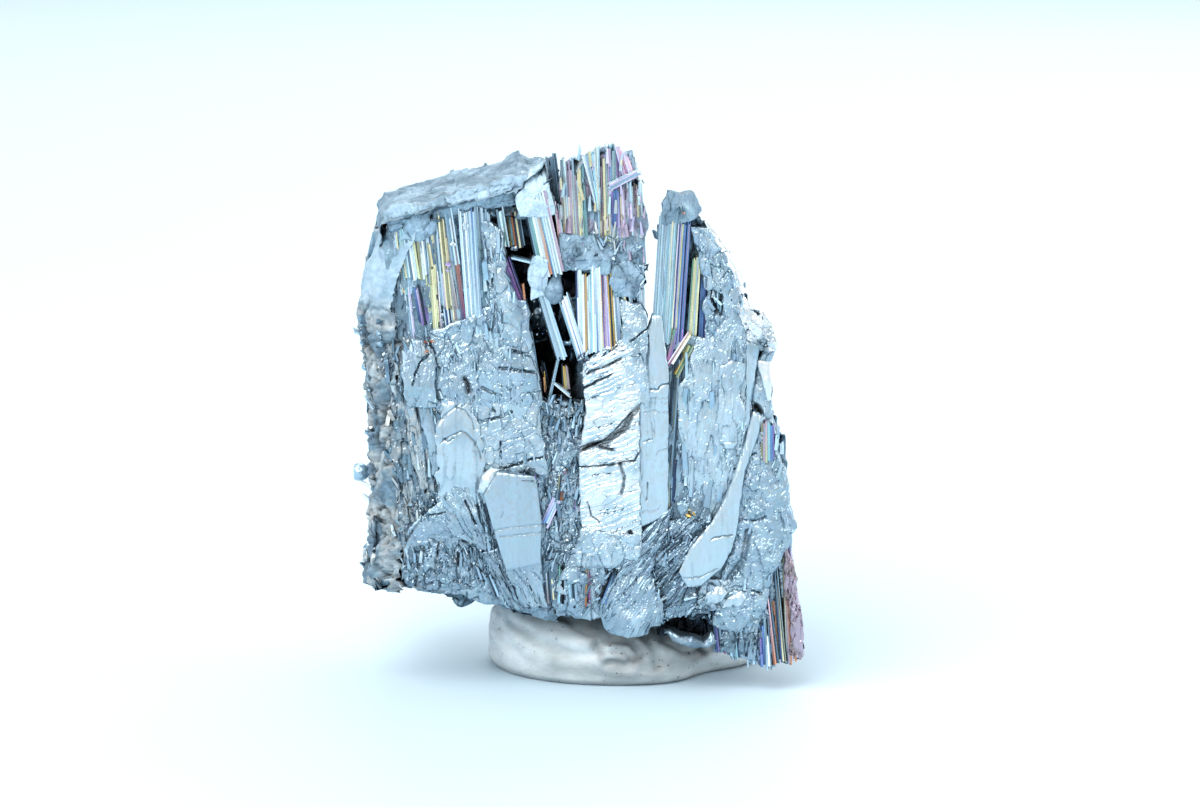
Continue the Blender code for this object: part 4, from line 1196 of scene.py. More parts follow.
# Rods that stand back in the dark cleft, with one white needle across them. Their black and dark colours are painted
# shade.
CLEFT_RODS = (
    Bundle((-4.03, 22.48), (-4.17, 23.96), (0.2, 0.16), -1.2, 14, "orange gold"),
    Bundle((-3.73, 21.74), (-4.31, 24.4), (0.5, 0.4), -1.6, 14, "dark black dark"),
    Bundle((-2.49, 22.48), (-2.63, 24.4), (0.6, 0.45), -0.5, -10, "dark gold straw>gold brown", 0.2, RISE_LEFT),
    Bundle((-3.73, 21.59), (-3.0, 24.99), (0.22, 0.2), -0.4, 10, "pale steel"),
    Bundle((-2.34, 22.18), (-3.51, 23.15), (0.24, 0.2), 0.1, 0, "white pale"),
    Bundle((-1.83, 25.43), (-2.18, 30.87), (0.7, 0.6), -1.6, 20, "dark slate dark", 0.8, CHIP),
    Bundle((-4.88, 29.25), (-5.17, 30.43), (0.3, 0.3), -1.2, 20, "navy dark"),
)
# The bundle of coloured columns in the central tower.
TOWER = (
    Bundle((0.22, 32.04), (0.0, 39.31), (6.2, 5.4), -0.05, 0, "pale straw mauve silver white beige teal steel lilac "
        "straw pale silver lilac pink mauve pale straw white beige beige pale", 0.8),
    Bundle((-2.33, 32.62), (-2.68, 39.45), (0.6, 0.5), 0.1, -10, "gold>steel straw>silver pale blue>mauve", 0.7,
        RISE_LEFT),
    Bundle((-1.74, 32.77), (-2.1, 39.67), (0.85, 0.8), 0.25, -4, "straw>mauve mauve lime>mauve beige>steel mauve "
        "beige>silver", 0.6, RISE_LEFT),
    Bundle((-1.09, 32.91), (-1.45, 39.6), (0.66, 0.5), 0.35, 10, "lime>straw straw teal>straw green>teal teal", 0.5,
        CHIP),
    Bundle((-0.15, 35.97), (-0.72, 40.17), (0.25, 1.35), 0.72, -4, "white steel pale cyan pale straw>beige pale", 0.25,
        RISE_RIGHT),
    Bundle((0.22, 32.47), (0.0, 39.45), (0.6, 0.55), 0.2, 6, "steel straw>beige brown>mauve steel", 0.5, RISE_RIGHT),
    Bundle((0.65, 32.47), (0.43, 40.46), (0.62, 0.6), 0.45, -8, "straw lime>steel straw>violet pale>blue"),
    Bundle((1.02, 32.47), (0.87, 40.54), (0.5, 0.5), 0.35, 8, "beige teal>cyan straw>pale teal", 0.4),
    Bundle((1.45, 32.04), (1.23, 40.46), (0.55, 0.5), 0.25, 4, "lilac lilac>violet mauve>lilac", 0.3, CHIP),
    Bundle((2.03, 38.29), (1.45, 40.25), (0.9, 0.72), 0.5, -8, "lilac pink magenta>pink lilac pink", 0.2, STEEP_LEFT),
    Bundle((1.16, 34.81), (1.09, 37.42), (0.6, 0.55), 0.55, 5, "navy>violet blue violet>blue lilac>blue", 0.2),
    Bundle((1.89, 31.74), (1.59, 37.57), (0.7, 0.62), 0.25, 9, "straw pink>straw lilac pink>mauve pale", 0.6),
    Bundle((2.47, 31.89), (2.17, 38.15), (0.66, 0.6), 0.15, -9, "pink>beige brown>steel pale beige lilac>brown", 0.6,
        RISE_LEFT),
    Bundle((3.05, 32.04), (2.75, 38.29), (0.66, 0.55), 0.1, 14, "lilac>brown straw>straw pale>beige pink steel>cyan",
        0.6, STEEP_LEFT),
    Bundle((0.8, 37.57), (2.9, 38.65), (0.6, 0.5), 0.78, 0, "pale lilac steel lilac", 0.15),
    Bundle((-2.55, 31.89), (-2.83, 33.79), (0.3, 0.25), 0.35, 10, "gold straw>orange", 0.3),
)
# The bright columns below the tower's waist and the wall of the notch.
BRIGHT_COLUMNS = (
    Bundle((-1.46, 25.58), (-1.6, 32.04), (0.5, 0.45), 0.75, -12, "navy white white pale", 0.15),
    Bundle((-0.88, 25.58), (-1.02, 31.3), (0.66, 0.6), 0.95, 6, "white gold>brown brown>gold white pale", 0.25),
    Bundle((-0.22, 25.65), (-0.36, 31.89), (0.8, 0.72), 1.15, -3, "cyan white pale blue>white white pale", 0.2),
    Bundle((0.29, 25.73), (0.07, 31.89), (0.5, 0.45), 0.95, 8, "pink>white straw>orange violet>navy pink", 0.2),
    Bundle((0.8, 25.58), (0.51, 31.3), (0.62, 0.52), 1.05, -8, "lilac violet>lilac lilac gold dark gold", 0.15),
    Bundle((1.39, 26.17), (1.09, 30.57), (0.5, 0.45), 0.85, 5, "white steel blue>white pale", 0.3),
    Bundle((2.12, 27.64), (1.89, 30.28), (0.8, 0.75), 0.65, -6, "pale straw orange>straw pale steel", 0.5, RISE_LEFT),
    Bundle((2.99, 26.61), (2.98, 34.66), (0.6, 0.55), 0.15, 10, "steel pale white pale", 0.4),
)
# The right tower: two striated prisms, the small ones crossing their feet and the rods of the groove.
RIGHT_TOWER = (
    Bundle((4.09, 26.46), (4.64, 36.12), (0.72, 0.62), 0.42, -9, "steel pale teal pale steel pale steel", 0.25,
        RISE_RIGHT),
    Bundle((4.75, 26.32), (5.3, 36.12), (0.8, 0.72), 0.52, -4, "pale steel teal pale steel>straw teal pale teal", 0.25,
        RISE_RIGHT),
    Bundle((5.26, 26.17), (5.81, 35.39), (0.46, 0.42), 0.4, 4, "violet straw>lilac navy lilac", 0.2),
    Bundle((5.77, 26.17), (6.32, 34.95), (0.66, 0.62), 0.32, 10, "lime blue lilac>blue navy blue violet>mauve blue",
        0.2),
    Bundle((6.65, 25.8), (7.05, 32.33), (0.72, 0.62), 0.15, -5, "slate>green lime straw lime pale lime straw", 0.12),
    Bundle((7.52, 26.24), (7.71, 32.33), (0.6, 0.55), 0.05, 12, "blue blue navy>blue violet dark", 0.2, CHIP),
    Bundle((6.98, 32.91), (6.68, 34.66), (0.5, 0.45), -0.3, 0, "black dark black", 0.2, RISE_LEFT),
    Bundle((5.19, 24.7), (6.57, 26.9), (0.42, 0.36), 0.75, -10, "white>pink magenta>straw white>straw", 0.1),
    Bundle((5.7, 23.81), (6.72, 25.87), (0.36, 0.36), 0.7, 14, "gold>lime green olive", 0.15),
    Bundle((5.11, 25.14), (5.55, 27.2), (0.36, 0.3), 0.6, 10, "magenta>green violet", 0.3),
    Bundle((5.07, 16.39), (5.7, 25.43), (0.7, 0.7), 0.6, -14, "dark slate>dark olive>dark slate dark", 0.4, RISE_LEFT),
    Bundle((5.3, 14.45), (5.57, 20.41), (0.5, 0.6), 0.56, 10, "dark slate navy>dark dark", 0.5, RISE_RIGHT),
    Bundle((5.01, 13.4), (4.99, 17.29), (0.5, 0.42), 0.66, 6, "slate>olive copper>brown olive>slate dark", 0.4),
    Bundle((4.36, 33.71), (4.36, 34.59), (0.3, 0.7), 0.1, 10, "slate dark steel", 0.1, STEEP_RIGHT),
)
# A tarnished patch on the rumpled side, and the coloured fan at the lower right corner.
FAN = (
    Bundle((13.56, 2.71), (12.69, 9.5), (2.9, 1.5), 0.25, 0, "violet mauve slate dark orange mauve dark beige violet "
        "mauve brown slate", 0.9),
    Bundle((12.26, 17.73), (12.24, 20.41), (1.0, 0.95), 1.2, -4, "olive mauve lime>pink teal blue violet", 0.15,
        RISE_LEFT),
    Bundle((12.46, 2.1), (12.2, 6.49), (0.5, 0.36), 1.0, -8, "steel pale white slate", 0.9, CHIP),
    Bundle((12.08, 2.25), (11.91, 5.74), (0.32, 0.3), 1.05, 8, "blue>violet navy>blue", 0.5),
    Bundle((13.05, 2.4), (12.41, 7.55), (0.5, 0.36), 0.75, 6, "copper>mauve orange>pink dark slate", 0.8, STEEP_RIGHT),
    Bundle((13.56, 2.56), (12.91, 9.95), (0.62, 0.36), 0.7, -6, "dark navy>slate straw>dark dark olive>steel black",
        1.2, STEEP_RIGHT),
    Bundle((14.08, 2.4), (13.56, 11.46), (0.6, 0.2), 0.62, 12, "slate>straw mauve>orange orange mauve>straw", 1.0,
        STEEP_RIGHT),
    Bundle((14.6, 2.56), (13.85, 11.91), (0.95, 0.2), 0.45, -8, "mauve>orange mauve>beige orange>mauve mauve "
        "brown>violet mauve", 1.2, RISE_LEFT),
    Bundle((8.89, 3.31), (8.58, 6.49), (0.8, 0.8), 0.5, -12, "dark navy violet>navy dark slate dark", 0.9),
    Bundle((9.34, 3.01), (9.18, 4.98), (0.4, 0.4), 0.6, 8, "magenta slate", 0.3),
    Bundle((10.23, 2.78), (9.91, 5.89), (1.1, 1.05), 0.65, 7, "steel slate teal>steel navy>slate pale slate", 0.9,
        RISE_LEFT),
    Bundle((11.27, 2.25), (11.1, 5.89), (0.75, 0.72), 0.6, -6, "pale steel slate pale steel", 0.9),
    Bundle((10.08, 3.16), (9.98, 6.49), (3.3, 3.3), 0.15, -3, "slate steel dark steel slate pale dark slate", 0.5),
)
# Rods and stubs in the grainy channel and along the foot of the block.
CHANNEL = (
    Bundle((-4.42, 13.11), (-4.78, 16.54), (0.25, 0.25), 1.6, 42, "violet navy>violet", 0.1),
    Bundle((-7.97, 8.9), (-8.68, 14.6), (0.62, 0.55), 1.0, -8, "slate dark steel dark", 0.6, RISE_LEFT),
    Bundle((-7.61, 7.55), (-8.27, 9.2), (0.6, 0.5), 1.0, 8, "slate dark steel slate", 0.7, RISE_LEFT),
    Bundle((-3.98, 12.81), (-3.16, 14.6), (0.7, 0.66), 0.75, 5, "lilac blue>lilac pale lilac", 0.15),
    Bundle((-1.69, 13.7), (-1.84, 16.09), (0.34, 0.3), 0.55, -8, "violet>brown pale mauve", 0.8, RISE_LEFT),
    Bundle((-2.94, 14.45), (-2.79, 16.39), (0.5, 0.4), 0.65, 14, "olive dark copper>dark", 0.4, RISE_LEFT),
    Bundle((-3.32, 9.65), (-2.95, 10.86), (0.35, 0.3), 0.72, 10, "pale pink>beige", 0.4),
    Bundle((-2.81, 7.09), (-2.8, 10.11), (0.55, 0.45), 0.95, 0, "cyan>green dark black dark", 0.6),
    Bundle((-3.7, 7.09), (-3.91, 9.95), (0.9, 0.8), 0.7, 8, "slate dark brown>pale dark slate straw dark", 0.9,
        RISE_LEFT),
    Bundle((-2.0, 6.79), (-2.14, 9.05), (0.8, 0.7), 1.0, -9, "slate steel slate dark steel", 0.9, CHIP),
    Bundle((-0.96, 6.94), (-0.88, 10.71), (0.5, 0.45), 1.12, 5, "slate copper>gold black>brown magenta>dark", 0.7,
        RISE_RIGHT),
    Bundle((0.37, 7.17), (1.18, 9.5), (0.66, 0.45), 1.3, 10, "black blue>black cyan>black blue>dark black", 0.5),
    Bundle((-14.77, 23.51), (-15.26, 26.32), (0.95, 0.6), -0.1, 8, "white gold>green teal>green pale straw", 0.8,
        CHIP),
)
# Broad faces of the left half: rough fields, stepped domes over them and the broad smooth blade.
LEFT_FACES = (
    Sheet(((-14.2, 8.0), (-14.7, 11.1), (-15.0, 15.9), (-15.4, 21.9), (-15.8, 26.3)), ((-10.9, 7.2), (-11.1, 11.1),
        (-11.2, 15.9), (-11.4, 21.9), (-11.8, 26.6)), (0.35, 0.4, 0.4, 0.3, -0.2), SHARDS, "slate beige", rough=0.9,
        slant=-0.16, step=0.12),
    Sheet(((-11.8, 7.2), (-11.8, 11.1), (-11.9, 16.7), (-12.2, 21.9), (-12.4, 27.1)), ((-3.8, 6.0), (-3.9, 10.0),
        (-3.9, 15.9), (-4.3, 21.9), (-5.5, 29.3)), (0.45, 0.55, 0.6, 0.6, 0.4), BROKEN, "steel silver", rough=0.8,
        slant=-0.1, step=0.11),
    Sheet(((-15.3, 25.6), (-15.6, 30.0), (-15.4, 34.2)), ((-11.7, 25.6), (-12.4, 30.0), (-12.6, 34.2)),
        (-0.3, -0.4, -0.3), SHARDS, "slate beige", rough=0.6, slant=-0.1),
    Sheet(((-15.2, 25.6), (-15.4, 30.0), (-15.7, 35.0)), ((-7.9, 25.6), (-8.2, 30.0), (-8.6, 36.2)),
        (-0.2, -0.2, -0.2), FIBROUS, "slate steel", rough=0.8, slant=-0.1),
    Sheet(((-7.9, 25.9), (-8.3, 29.3), (-8.7, 35.1)), ((-5.7, 25.9), (-6.6, 29.3), (-7.0, 33.9)), (0.6, 0.6, 0.35),
        SHARDS, "pale steel", tilt=0.25, rough=0.7, slant=-0.1),
    Sheet(((-6.8, 25.9), (-7.4, 29.3), (-8.2, 32.0)), ((-5.5, 25.9), (-5.8, 28.5), (-7.1, 32.3)), (0.75, 0.85, 0.6),
        BROKEN, "steel pale", tilt=-0.3, rough=0.5, slant=-0.4),
    Sheet(((-8.8, 21.6), (-8.9, 24.0), (-8.5, 26.6)), ((-4.3, 21.7), (-4.8, 24.5), (-5.5, 26.6)), (0.75, 0.85, 0.6),
        BROKEN, "silver steel", rough=0.6, splits=(6, 20), cracks=(Crack(((-7.3, 24.3), (-4.8, 24.0))),
        Crack(((-6.6, 25.6), (-4.7, 25.1))), Crack(((-8.6, 22.8), (-7.3, 22.2))), Crack(((-4.5, 24.0), (-4.3, 21.9)),
        0.1, 0.3, 0.6))),
    Sheet(((-9.1, 16.5), (-9.2, 19.7), (-8.9, 22.2)), ((-4.0, 16.4), (-4.0, 18.9), (-4.5, 22.0)), (0.8, 0.85, 0.7),
        BROKEN, "silver pale", rough=0.5, splits=(7, 15), cracks=(Crack(((-8.8, 20.3), (-7.6, 20.6), (-6.5, 21.0))),
        Crack(((-7.3, 16.7), (-7.3, 18.9)), 0.05), Crack(((-7.3, 16.8), (-5.1, 17.5), (-4.2, 17.7)), 0.06),
        Crack(((-8.5, 21.9), (-7.7, 21.1))))),
    Sheet(((-14.0, 21.3), (-14.3, 23.4), (-14.3, 25.4), (-13.7, 26.3)), ((-11.9, 21.3), (-11.9, 24.0), (-12.3, 25.6),
        (-12.8, 26.3)), (0.85, 0.95, 0.75, 0.4), FIBROUS, "silver steel", crown=0.22, rough=0.9,
        cracks=(Crack(((-13.7, 23.1), (-13.2, 24.7), (-12.4, 25.4)), 0.05),)),
    Sheet(((-11.6, 21.0), (-11.8, 23.4), (-11.4, 25.9)), ((-8.9, 21.1), (-8.8, 23.5), (-9.3, 26.5)), (0.75, 0.8, 0.45),
        RUMPLED, "silver steel", rough=0.9, slant=-0.1, cracks=(Crack(((-9.9, 23.5), (-9.7, 23.1), (-9.6, 22.5)), 0.22,
        0.13, 0.97), Crack(((-11.6, 25.4), (-11.8, 24.1)), 0.1, 0.12, 0.9), Crack(((-9.2, 22.2), (-9.5, 21.6)), 0.08,
        0.1, 0.9))),
    Sheet(((-11.9, 14.0), (-12.0, 17.4), (-11.9, 20.0), (-11.3, 21.6)), ((-8.2, 14.0), (-8.4, 17.4), (-8.8, 20.0),
        (-9.7, 21.7)), (0.75, 1.0, 1.05, 0.85), SMOOTH, "pale silver", crown=0.14, rough=0.9, ragged=0.3,
        cracks=(Crack(((-11.9, 20.1), (-11.3, 20.9), (-10.6, 21.4), (-9.9, 21.2), (-9.4, 20.6), (-9.2, 19.8)), 0.06,
        0.12, 0.5), Crack(((-11.7, 18.8), (-10.9, 19.4), (-10.1, 19.7), (-9.5, 19.3), (-9.0, 18.5), (-8.7, 17.6)),
        0.06, 0.12, 0.65), Crack(((-11.4, 19.1), (-11.1, 18.9), (-10.7, 19.2)), 0.05, 0.2, 0.4))),
    Sheet(((-12.2, 16.2), (-12.8, 18.9), (-13.3, 21.1), (-13.3, 22.2)), ((-11.6, 16.4), (-12.0, 19.2), (-12.5, 21.3),
        (-12.7, 22.2)), (0.7, 0.8, 0.65), FIBROUS, "steel silver", crown=0.1, rough=0.6),
    Sheet(((-13.4, 15.2), (-14.1, 19.7), (-14.4, 22.6)), ((-12.4, 15.5), (-12.9, 19.7), (-13.5, 22.6)),
        (0.5, 0.6, 0.45), FIBROUS, "beige steel", crown=0.12, slant=-0.15, cracks=(Crack(((-12.4, 15.9), (-12.9, 19.2),
        (-13.5, 21.9)), 0.09, 0.4, 0.85),)),
    Sheet(((-11.6, 12.2), (-11.5, 14.5), (-11.0, 16.7)), ((-7.8, 10.6), (-8.4, 13.3), (-8.7, 16.7)), (0.9, 1.0, 0.75),
        SHARDS, "steel pale", crown=0.15, rough=0.45, slant=-0.5, cracks=(Crack(((-9.3, 15.0), (-8.7, 13.0),
        (-8.4, 12.2)), 0.08, 0.3), Crack(((-9.9, 14.5), (-9.1, 12.7)), 0.05))),
    Sheet(((-14.5, 10.6), (-14.0, 12.1), (-12.8, 13.6), (-11.5, 14.5)), ((-8.7, 11.1), (-8.8, 12.2), (-9.3, 13.4),
        (-10.2, 14.3)), (0.5, 0.8, 0.9, 0.75), RUMPLED, "steel silver", crown=0.1, rough=0.6,
        cracks=(Crack(((-14.4, 11.2), (-13.8, 12.2), (-12.8, 13.3), (-11.3, 13.6), (-10.5, 13.4)), 0.07, 0.12, 0.6),)),
    Sheet(((-14.4, 8.1), (-14.6, 9.6), (-14.2, 11.3)), ((-8.0, 7.4), (-8.4, 8.8), (-8.8, 11.5)), (0.5, 0.6, 0.55),
        BROKEN, "steel slate", crown=0.2, rough=1.2, slant=-0.2, splits=(16, 80), cracks=(Crack(((-10.7, 11.9),
        (-10.0, 11.5), (-9.4, 11.6)), 0.25, 0.15, 0.9), Crack(((-10.5, 10.3), (-10.3, 9.2)), 0.25, 0.15, 0.95),
        Crack(((-9.6, 10.9), (-9.3, 9.8), (-9.6, 8.9)), 0.14, 0.12, 0.9), Crack(((-11.9, 11.5), (-12.1, 9.1)), 0.1,
        0.1, 0.6), Crack(((-13.0, 11.1), (-13.7, 8.1)), 0.1, 0.1, 0.5), Crack(((-11.8, 7.8), (-10.6, 7.5),
        (-9.2, 7.8)), 0.15, 0.15, 0.7))),
    Sheet(((-5.5, 6.6), (-6.4, 8.3), (-7.1, 10.4)), ((-3.9, 6.7), (-4.4, 8.5), (-4.4, 10.6)), (1.5, 1.75, 1.9),
        FIBROUS, "steel silver", rough=0.8, slant=-0.4, splits=(9, -55)),
    Sheet(((-6.9, 9.5), (-7.7, 12.2), (-8.5, 15.1), (-7.5, 16.8)), ((-4.4, 10.0), (-4.3, 13.0), (-4.6, 15.8),
        (-4.8, 16.5)), (1.95, 2.0, 1.95, 1.9), SMOOTH, "silver silver", rough=0.6, ragged=0.02,
        cracks=(Crack(((-7.8, 12.5), (-6.3, 12.8), (-4.3, 13.0)), 0.05, 0.08, 0.3), Crack(((-7.4, 12.1), (-5.9, 12.2),
        (-4.3, 12.4)), 0.05, 0.08, 0.3), Crack(((-6.5, 9.5), (-6.2, 8.5)), 0.05, 0.1, 0.5), Crack(((-7.1, 13.9),
        (-7.2, 13.5)), 0.05, 0.05, 0.4))),
    Sheet(((-9.0, 15.2), (-8.7, 16.4), (-8.0, 17.0)), ((-8.2, 15.0), (-7.8, 16.1), (-7.3, 17.0)), (1.5, 1.7, 1.4),
        SMOOTH, "white pale", crown=0.12, rough=2.0),
    Sheet(((-7.4, 6.6), (-8.0, 8.5), (-8.7, 10.7)), ((-5.2, 6.2), (-6.2, 8.5), (-7.4, 10.9)), (0.9, 1.1, 1.0), SHARDS,
        "steel slate", rough=0.7, slant=-0.5),
)
# The slab's lip, the caps of the tall blades and the lumps at the tower's waist.
CAPS = (
    Sheet(((-15.5, 33.9), (-15.9, 35.5)), ((-4.6, 36.4), (-4.3, 38.6)), (-0.1, 0.15, -0.25), BROKEN, "steel slate",
        rough=0.45, splits=(9, 15), ragged=0.1),
    Sheet(((-11.2, 35.8), (-11.3, 36.6)), ((-7.8, 36.1), (-8.0, 36.9)), (0.3, 0.4, 0.1), BROKEN, "steel silver",
        rough=0.5),
    Sheet(((-14.4, 33.3), (-14.2, 35.4)), ((-12.1, 33.8), (-11.9, 36.1)), (0.05, 0.2, 0.2), BROKEN, "steel slate",
        rough=0.8),
    Sheet(((-5.6, 35.1), (-6.0, 36.7), (-5.8, 37.7), (-4.9, 38.7)), ((-3.3, 35.4), (-3.6, 37.1), (-3.8, 38.1),
        (-4.0, 39.2)), (1.02, 0.9, 0.6, 0.1), RUMPLED, "pale steel", crown=0.06, rough=0.5),
    Sheet(((-5.0, 29.4), (-5.2, 31.0), (-4.8, 32.3)), ((-4.0, 29.7), (-3.7, 31.0), (-3.6, 32.2)), (1.1, 1.2, 0.9),
        BROKEN, "pale steel", crown=0.1, rough=0.6),
    Sheet(((-3.7, 29.1), (-4.2, 29.8), (-3.9, 30.6)), ((-2.8, 29.1), (-2.7, 30.0), (-2.9, 31.5)), (0.8, 1.0, 0.7),
        BROKEN, "slate steel", tilt=-0.4, rough=0.5),
    Sheet(((-2.8, 32.0), (-2.9, 35.8), (-2.8, 39.5)), ((3.3, 32.0), (3.3, 35.8), (2.2, 39.5)), (-0.1, 0.0, -0.1),
        SHARDS, "steel mauve", rough=0.7),
    Sheet(((-2.9, 31.5), (-3.1, 32.9), (-2.8, 34.1)), ((3.3, 30.7), (3.3, 32.5), (3.3, 33.9)), (0.35, 0.5, 0.3),
        RUMPLED, "steel slate"),
    Sheet(((-1.6, 31.6), (-1.7, 32.3), (-1.3, 33.2)), ((0.9, 31.3), (1.0, 32.3), (0.4, 33.2)), (0.85, 0.85, 0.45),
        RUMPLED, "steel slate", rough=0.9),
    Sheet(((1.1, 29.4), (0.7, 31.0), (1.0, 32.0)), ((2.9, 29.7), (3.3, 31.2), (3.1, 32.0)), (0.95, 1.0, 0.7), BROKEN,
        "steel slate", crown=0.15, rough=0.8),
    Sheet(((4.4, 35.0), (4.6, 36.3), (5.0, 37.1)), ((6.5, 35.2), (7.3, 35.7), (6.8, 37.0)), (0.48, 0.6, 0.1), FIBROUS,
        "slate silver", crown=0.04, rough=0.9),
)
# Broad faces of the right half: the kinked cleavage plate, the long strip and the fibrous plate.
CLEAVAGE_FACES = (
    Sheet(((2.9, 11.5), (4.0, 20.4), (4.7, 25.9)), ((10.8, 11.5), (10.8, 20.4), (10.8, 26.5)), (0.35, 0.45, 0.3),
        FIBROUS, "steel slate", rough=0.9, step=0.12),
    Sheet(((-1.1, 10.3), (-1.5, 14.5), (-1.5, 18.2), (-1.0, 21.5), (-1.3, 23.5)), ((3.1, 10.6), (2.9, 15.9),
        (2.9, 20.4), (3.0, 23.7), (3.0, 25.0)), (1.25, 1.4, 1.45, 1.3), KINKED, "white pale", crown=0.06, rough=0.75,
        splits=(40, 17), ragged=0.12, cracks=(Crack(((-1.5, 18.4), (-0.6, 18.7), (0.4, 18.9), (1.8, 20.0), (2.3, 20.9),
        (2.9, 21.5)), 0.24, 0.4, 0.6), Crack(((-1.3, 18.3), (0.4, 19.1), (2.3, 21.1)), 0.07, 0.2, 0.6),
        Crack(((-1.5, 17.1), (0.0, 17.2), (1.5, 17.4), (2.5, 17.6), (2.9, 18.2)), 0.06, 0.15), Crack(((1.5, 17.3),
        (1.8, 16.4), (1.6, 15.2)), 0.1, 0.2, 0.45), Crack(((0.0, 18.6), (0.9, 18.4)), 0.1), Crack(((0.1, 23.8),
        (0.7, 24.4), (1.8, 24.5)), 0.08), Crack(((-1.2, 22.9), (0.0, 23.5), (0.9, 24.0))), Crack(((-0.9, 14.5),
        (-0.6, 13.4), (0.0, 13.0)), 0.05, 0.15, 0.35), Crack(((2.2, 12.2), (2.4, 11.5)), 0.13, 0.3, 0.85),
        Crack(((1.3, 11.7), (1.5, 11.5)), 0.1, 0.25)), step=0.07),
    Sheet(((-1.6, 9.8), (-1.7, 11.1), (-1.3, 12.4)), ((3.0, 9.7), (3.0, 10.9), (2.9, 12.2)), (1.2, 1.4, 1.42), BROKEN,
        "pale steel", rough=0.7),
    Sheet(((-1.3, 23.2), (-1.2, 24.7), (-0.1, 25.6)), ((3.0, 24.7), (2.9, 25.9), (2.5, 26.9)), (1.25, 1.2, 0.9),
        KINKED, "white pale", rough=0.9, splits=(12, 25), cracks=(Crack(((-0.9, 24.0), (0.4, 24.5), (2.2, 25.4)),
        0.08),)),
    Sheet(((1.8, 21.7), (1.5, 25.6), (1.6, 29.3)), ((3.7, 21.7), (3.5, 25.9), (3.1, 29.3)), (1.25, 1.15, 0.7), RUMPLED,
        "pale steel", crown=0.12, rough=0.8, cracks=(Crack(((2.2, 26.3), (3.4, 27.2)), 0.05), Crack(((1.9, 25.1),
        (2.9, 25.4)), 0.05))),
    Sheet(((2.8, 12.4), (2.8, 20.4), (3.1, 25.9), (3.8, 28.1)), ((5.0, 13.4), (5.0, 19.7), (5.0, 24.1), (4.5, 28.1)),
        (0.95, 1.05, 1.05, 0.6), SMOOTH, "pale pale", crown=0.06, rough=1.5, splits=(5, 10),
        cracks=(Crack(((3.4, 22.8), (4.2, 22.7), (4.5, 23.1), (5.1, 23.2)), 0.05), Crack(((3.2, 18.9), (3.8, 19.1)),
        0.04), Crack(((3.5, 15.9), (3.4, 14.5)), 0.04))),
    Sheet(((6.8, 13.0), (6.0, 16.3), (5.9, 21.9), (6.2, 24.7), (6.9, 26.3)), ((8.7, 13.0), (10.5, 16.1), (11.1, 20.4),
        (11.0, 24.1), (10.7, 27.1)), (0.5, 0.75, 0.8, 0.75, 0.5), FIBROUS, "pale silver", crown=0.12, rough=0.9),
    Sheet(((8.8, 18.5), (8.6, 20.4), (8.6, 24.3)), ((10.3, 18.6), (10.4, 21.1), (10.5, 24.8)), (1.0, 1.05, 0.9),
        FIBROUS, "pale silver", crown=0.15, rough=0.7),
    Sheet(((8.9, 18.3), (9.0, 18.8)), ((9.8, 18.3), (10.1, 18.9)), (1.0, 1.15), SMOOTH, "white pale"),
    Sheet(((10.7, 20.6), (10.7, 23.4), (10.7, 26.2)), ((10.9, 20.6), (11.3, 23.4), (11.7, 25.9)), (0.7, 0.8, 0.7),
        SMOOTH, "pale steel", tilt=-0.3),
    Sheet(((10.9, 18.9), (11.3, 22.6), (11.7, 25.7)), ((13.0, 19.2), (12.5, 22.3), (12.6, 25.7)), (0.35, 0.3, 0.1),
        RUMPLED, "steel pale", rough=0.6, cracks=(Crack(((11.4, 21.3), (11.7, 20.9)), 0.2, 0.5, 0.95),)),
    # This small white sheet is a painted highlight.
    Sheet(((12.2, 21.7), (11.8, 23.4), (11.4, 24.7)), ((12.5, 21.9), (12.6, 23.4), (12.5, 24.7)), (0.5, 0.55, 0.3),
        SMOOTH, "white white"),
)
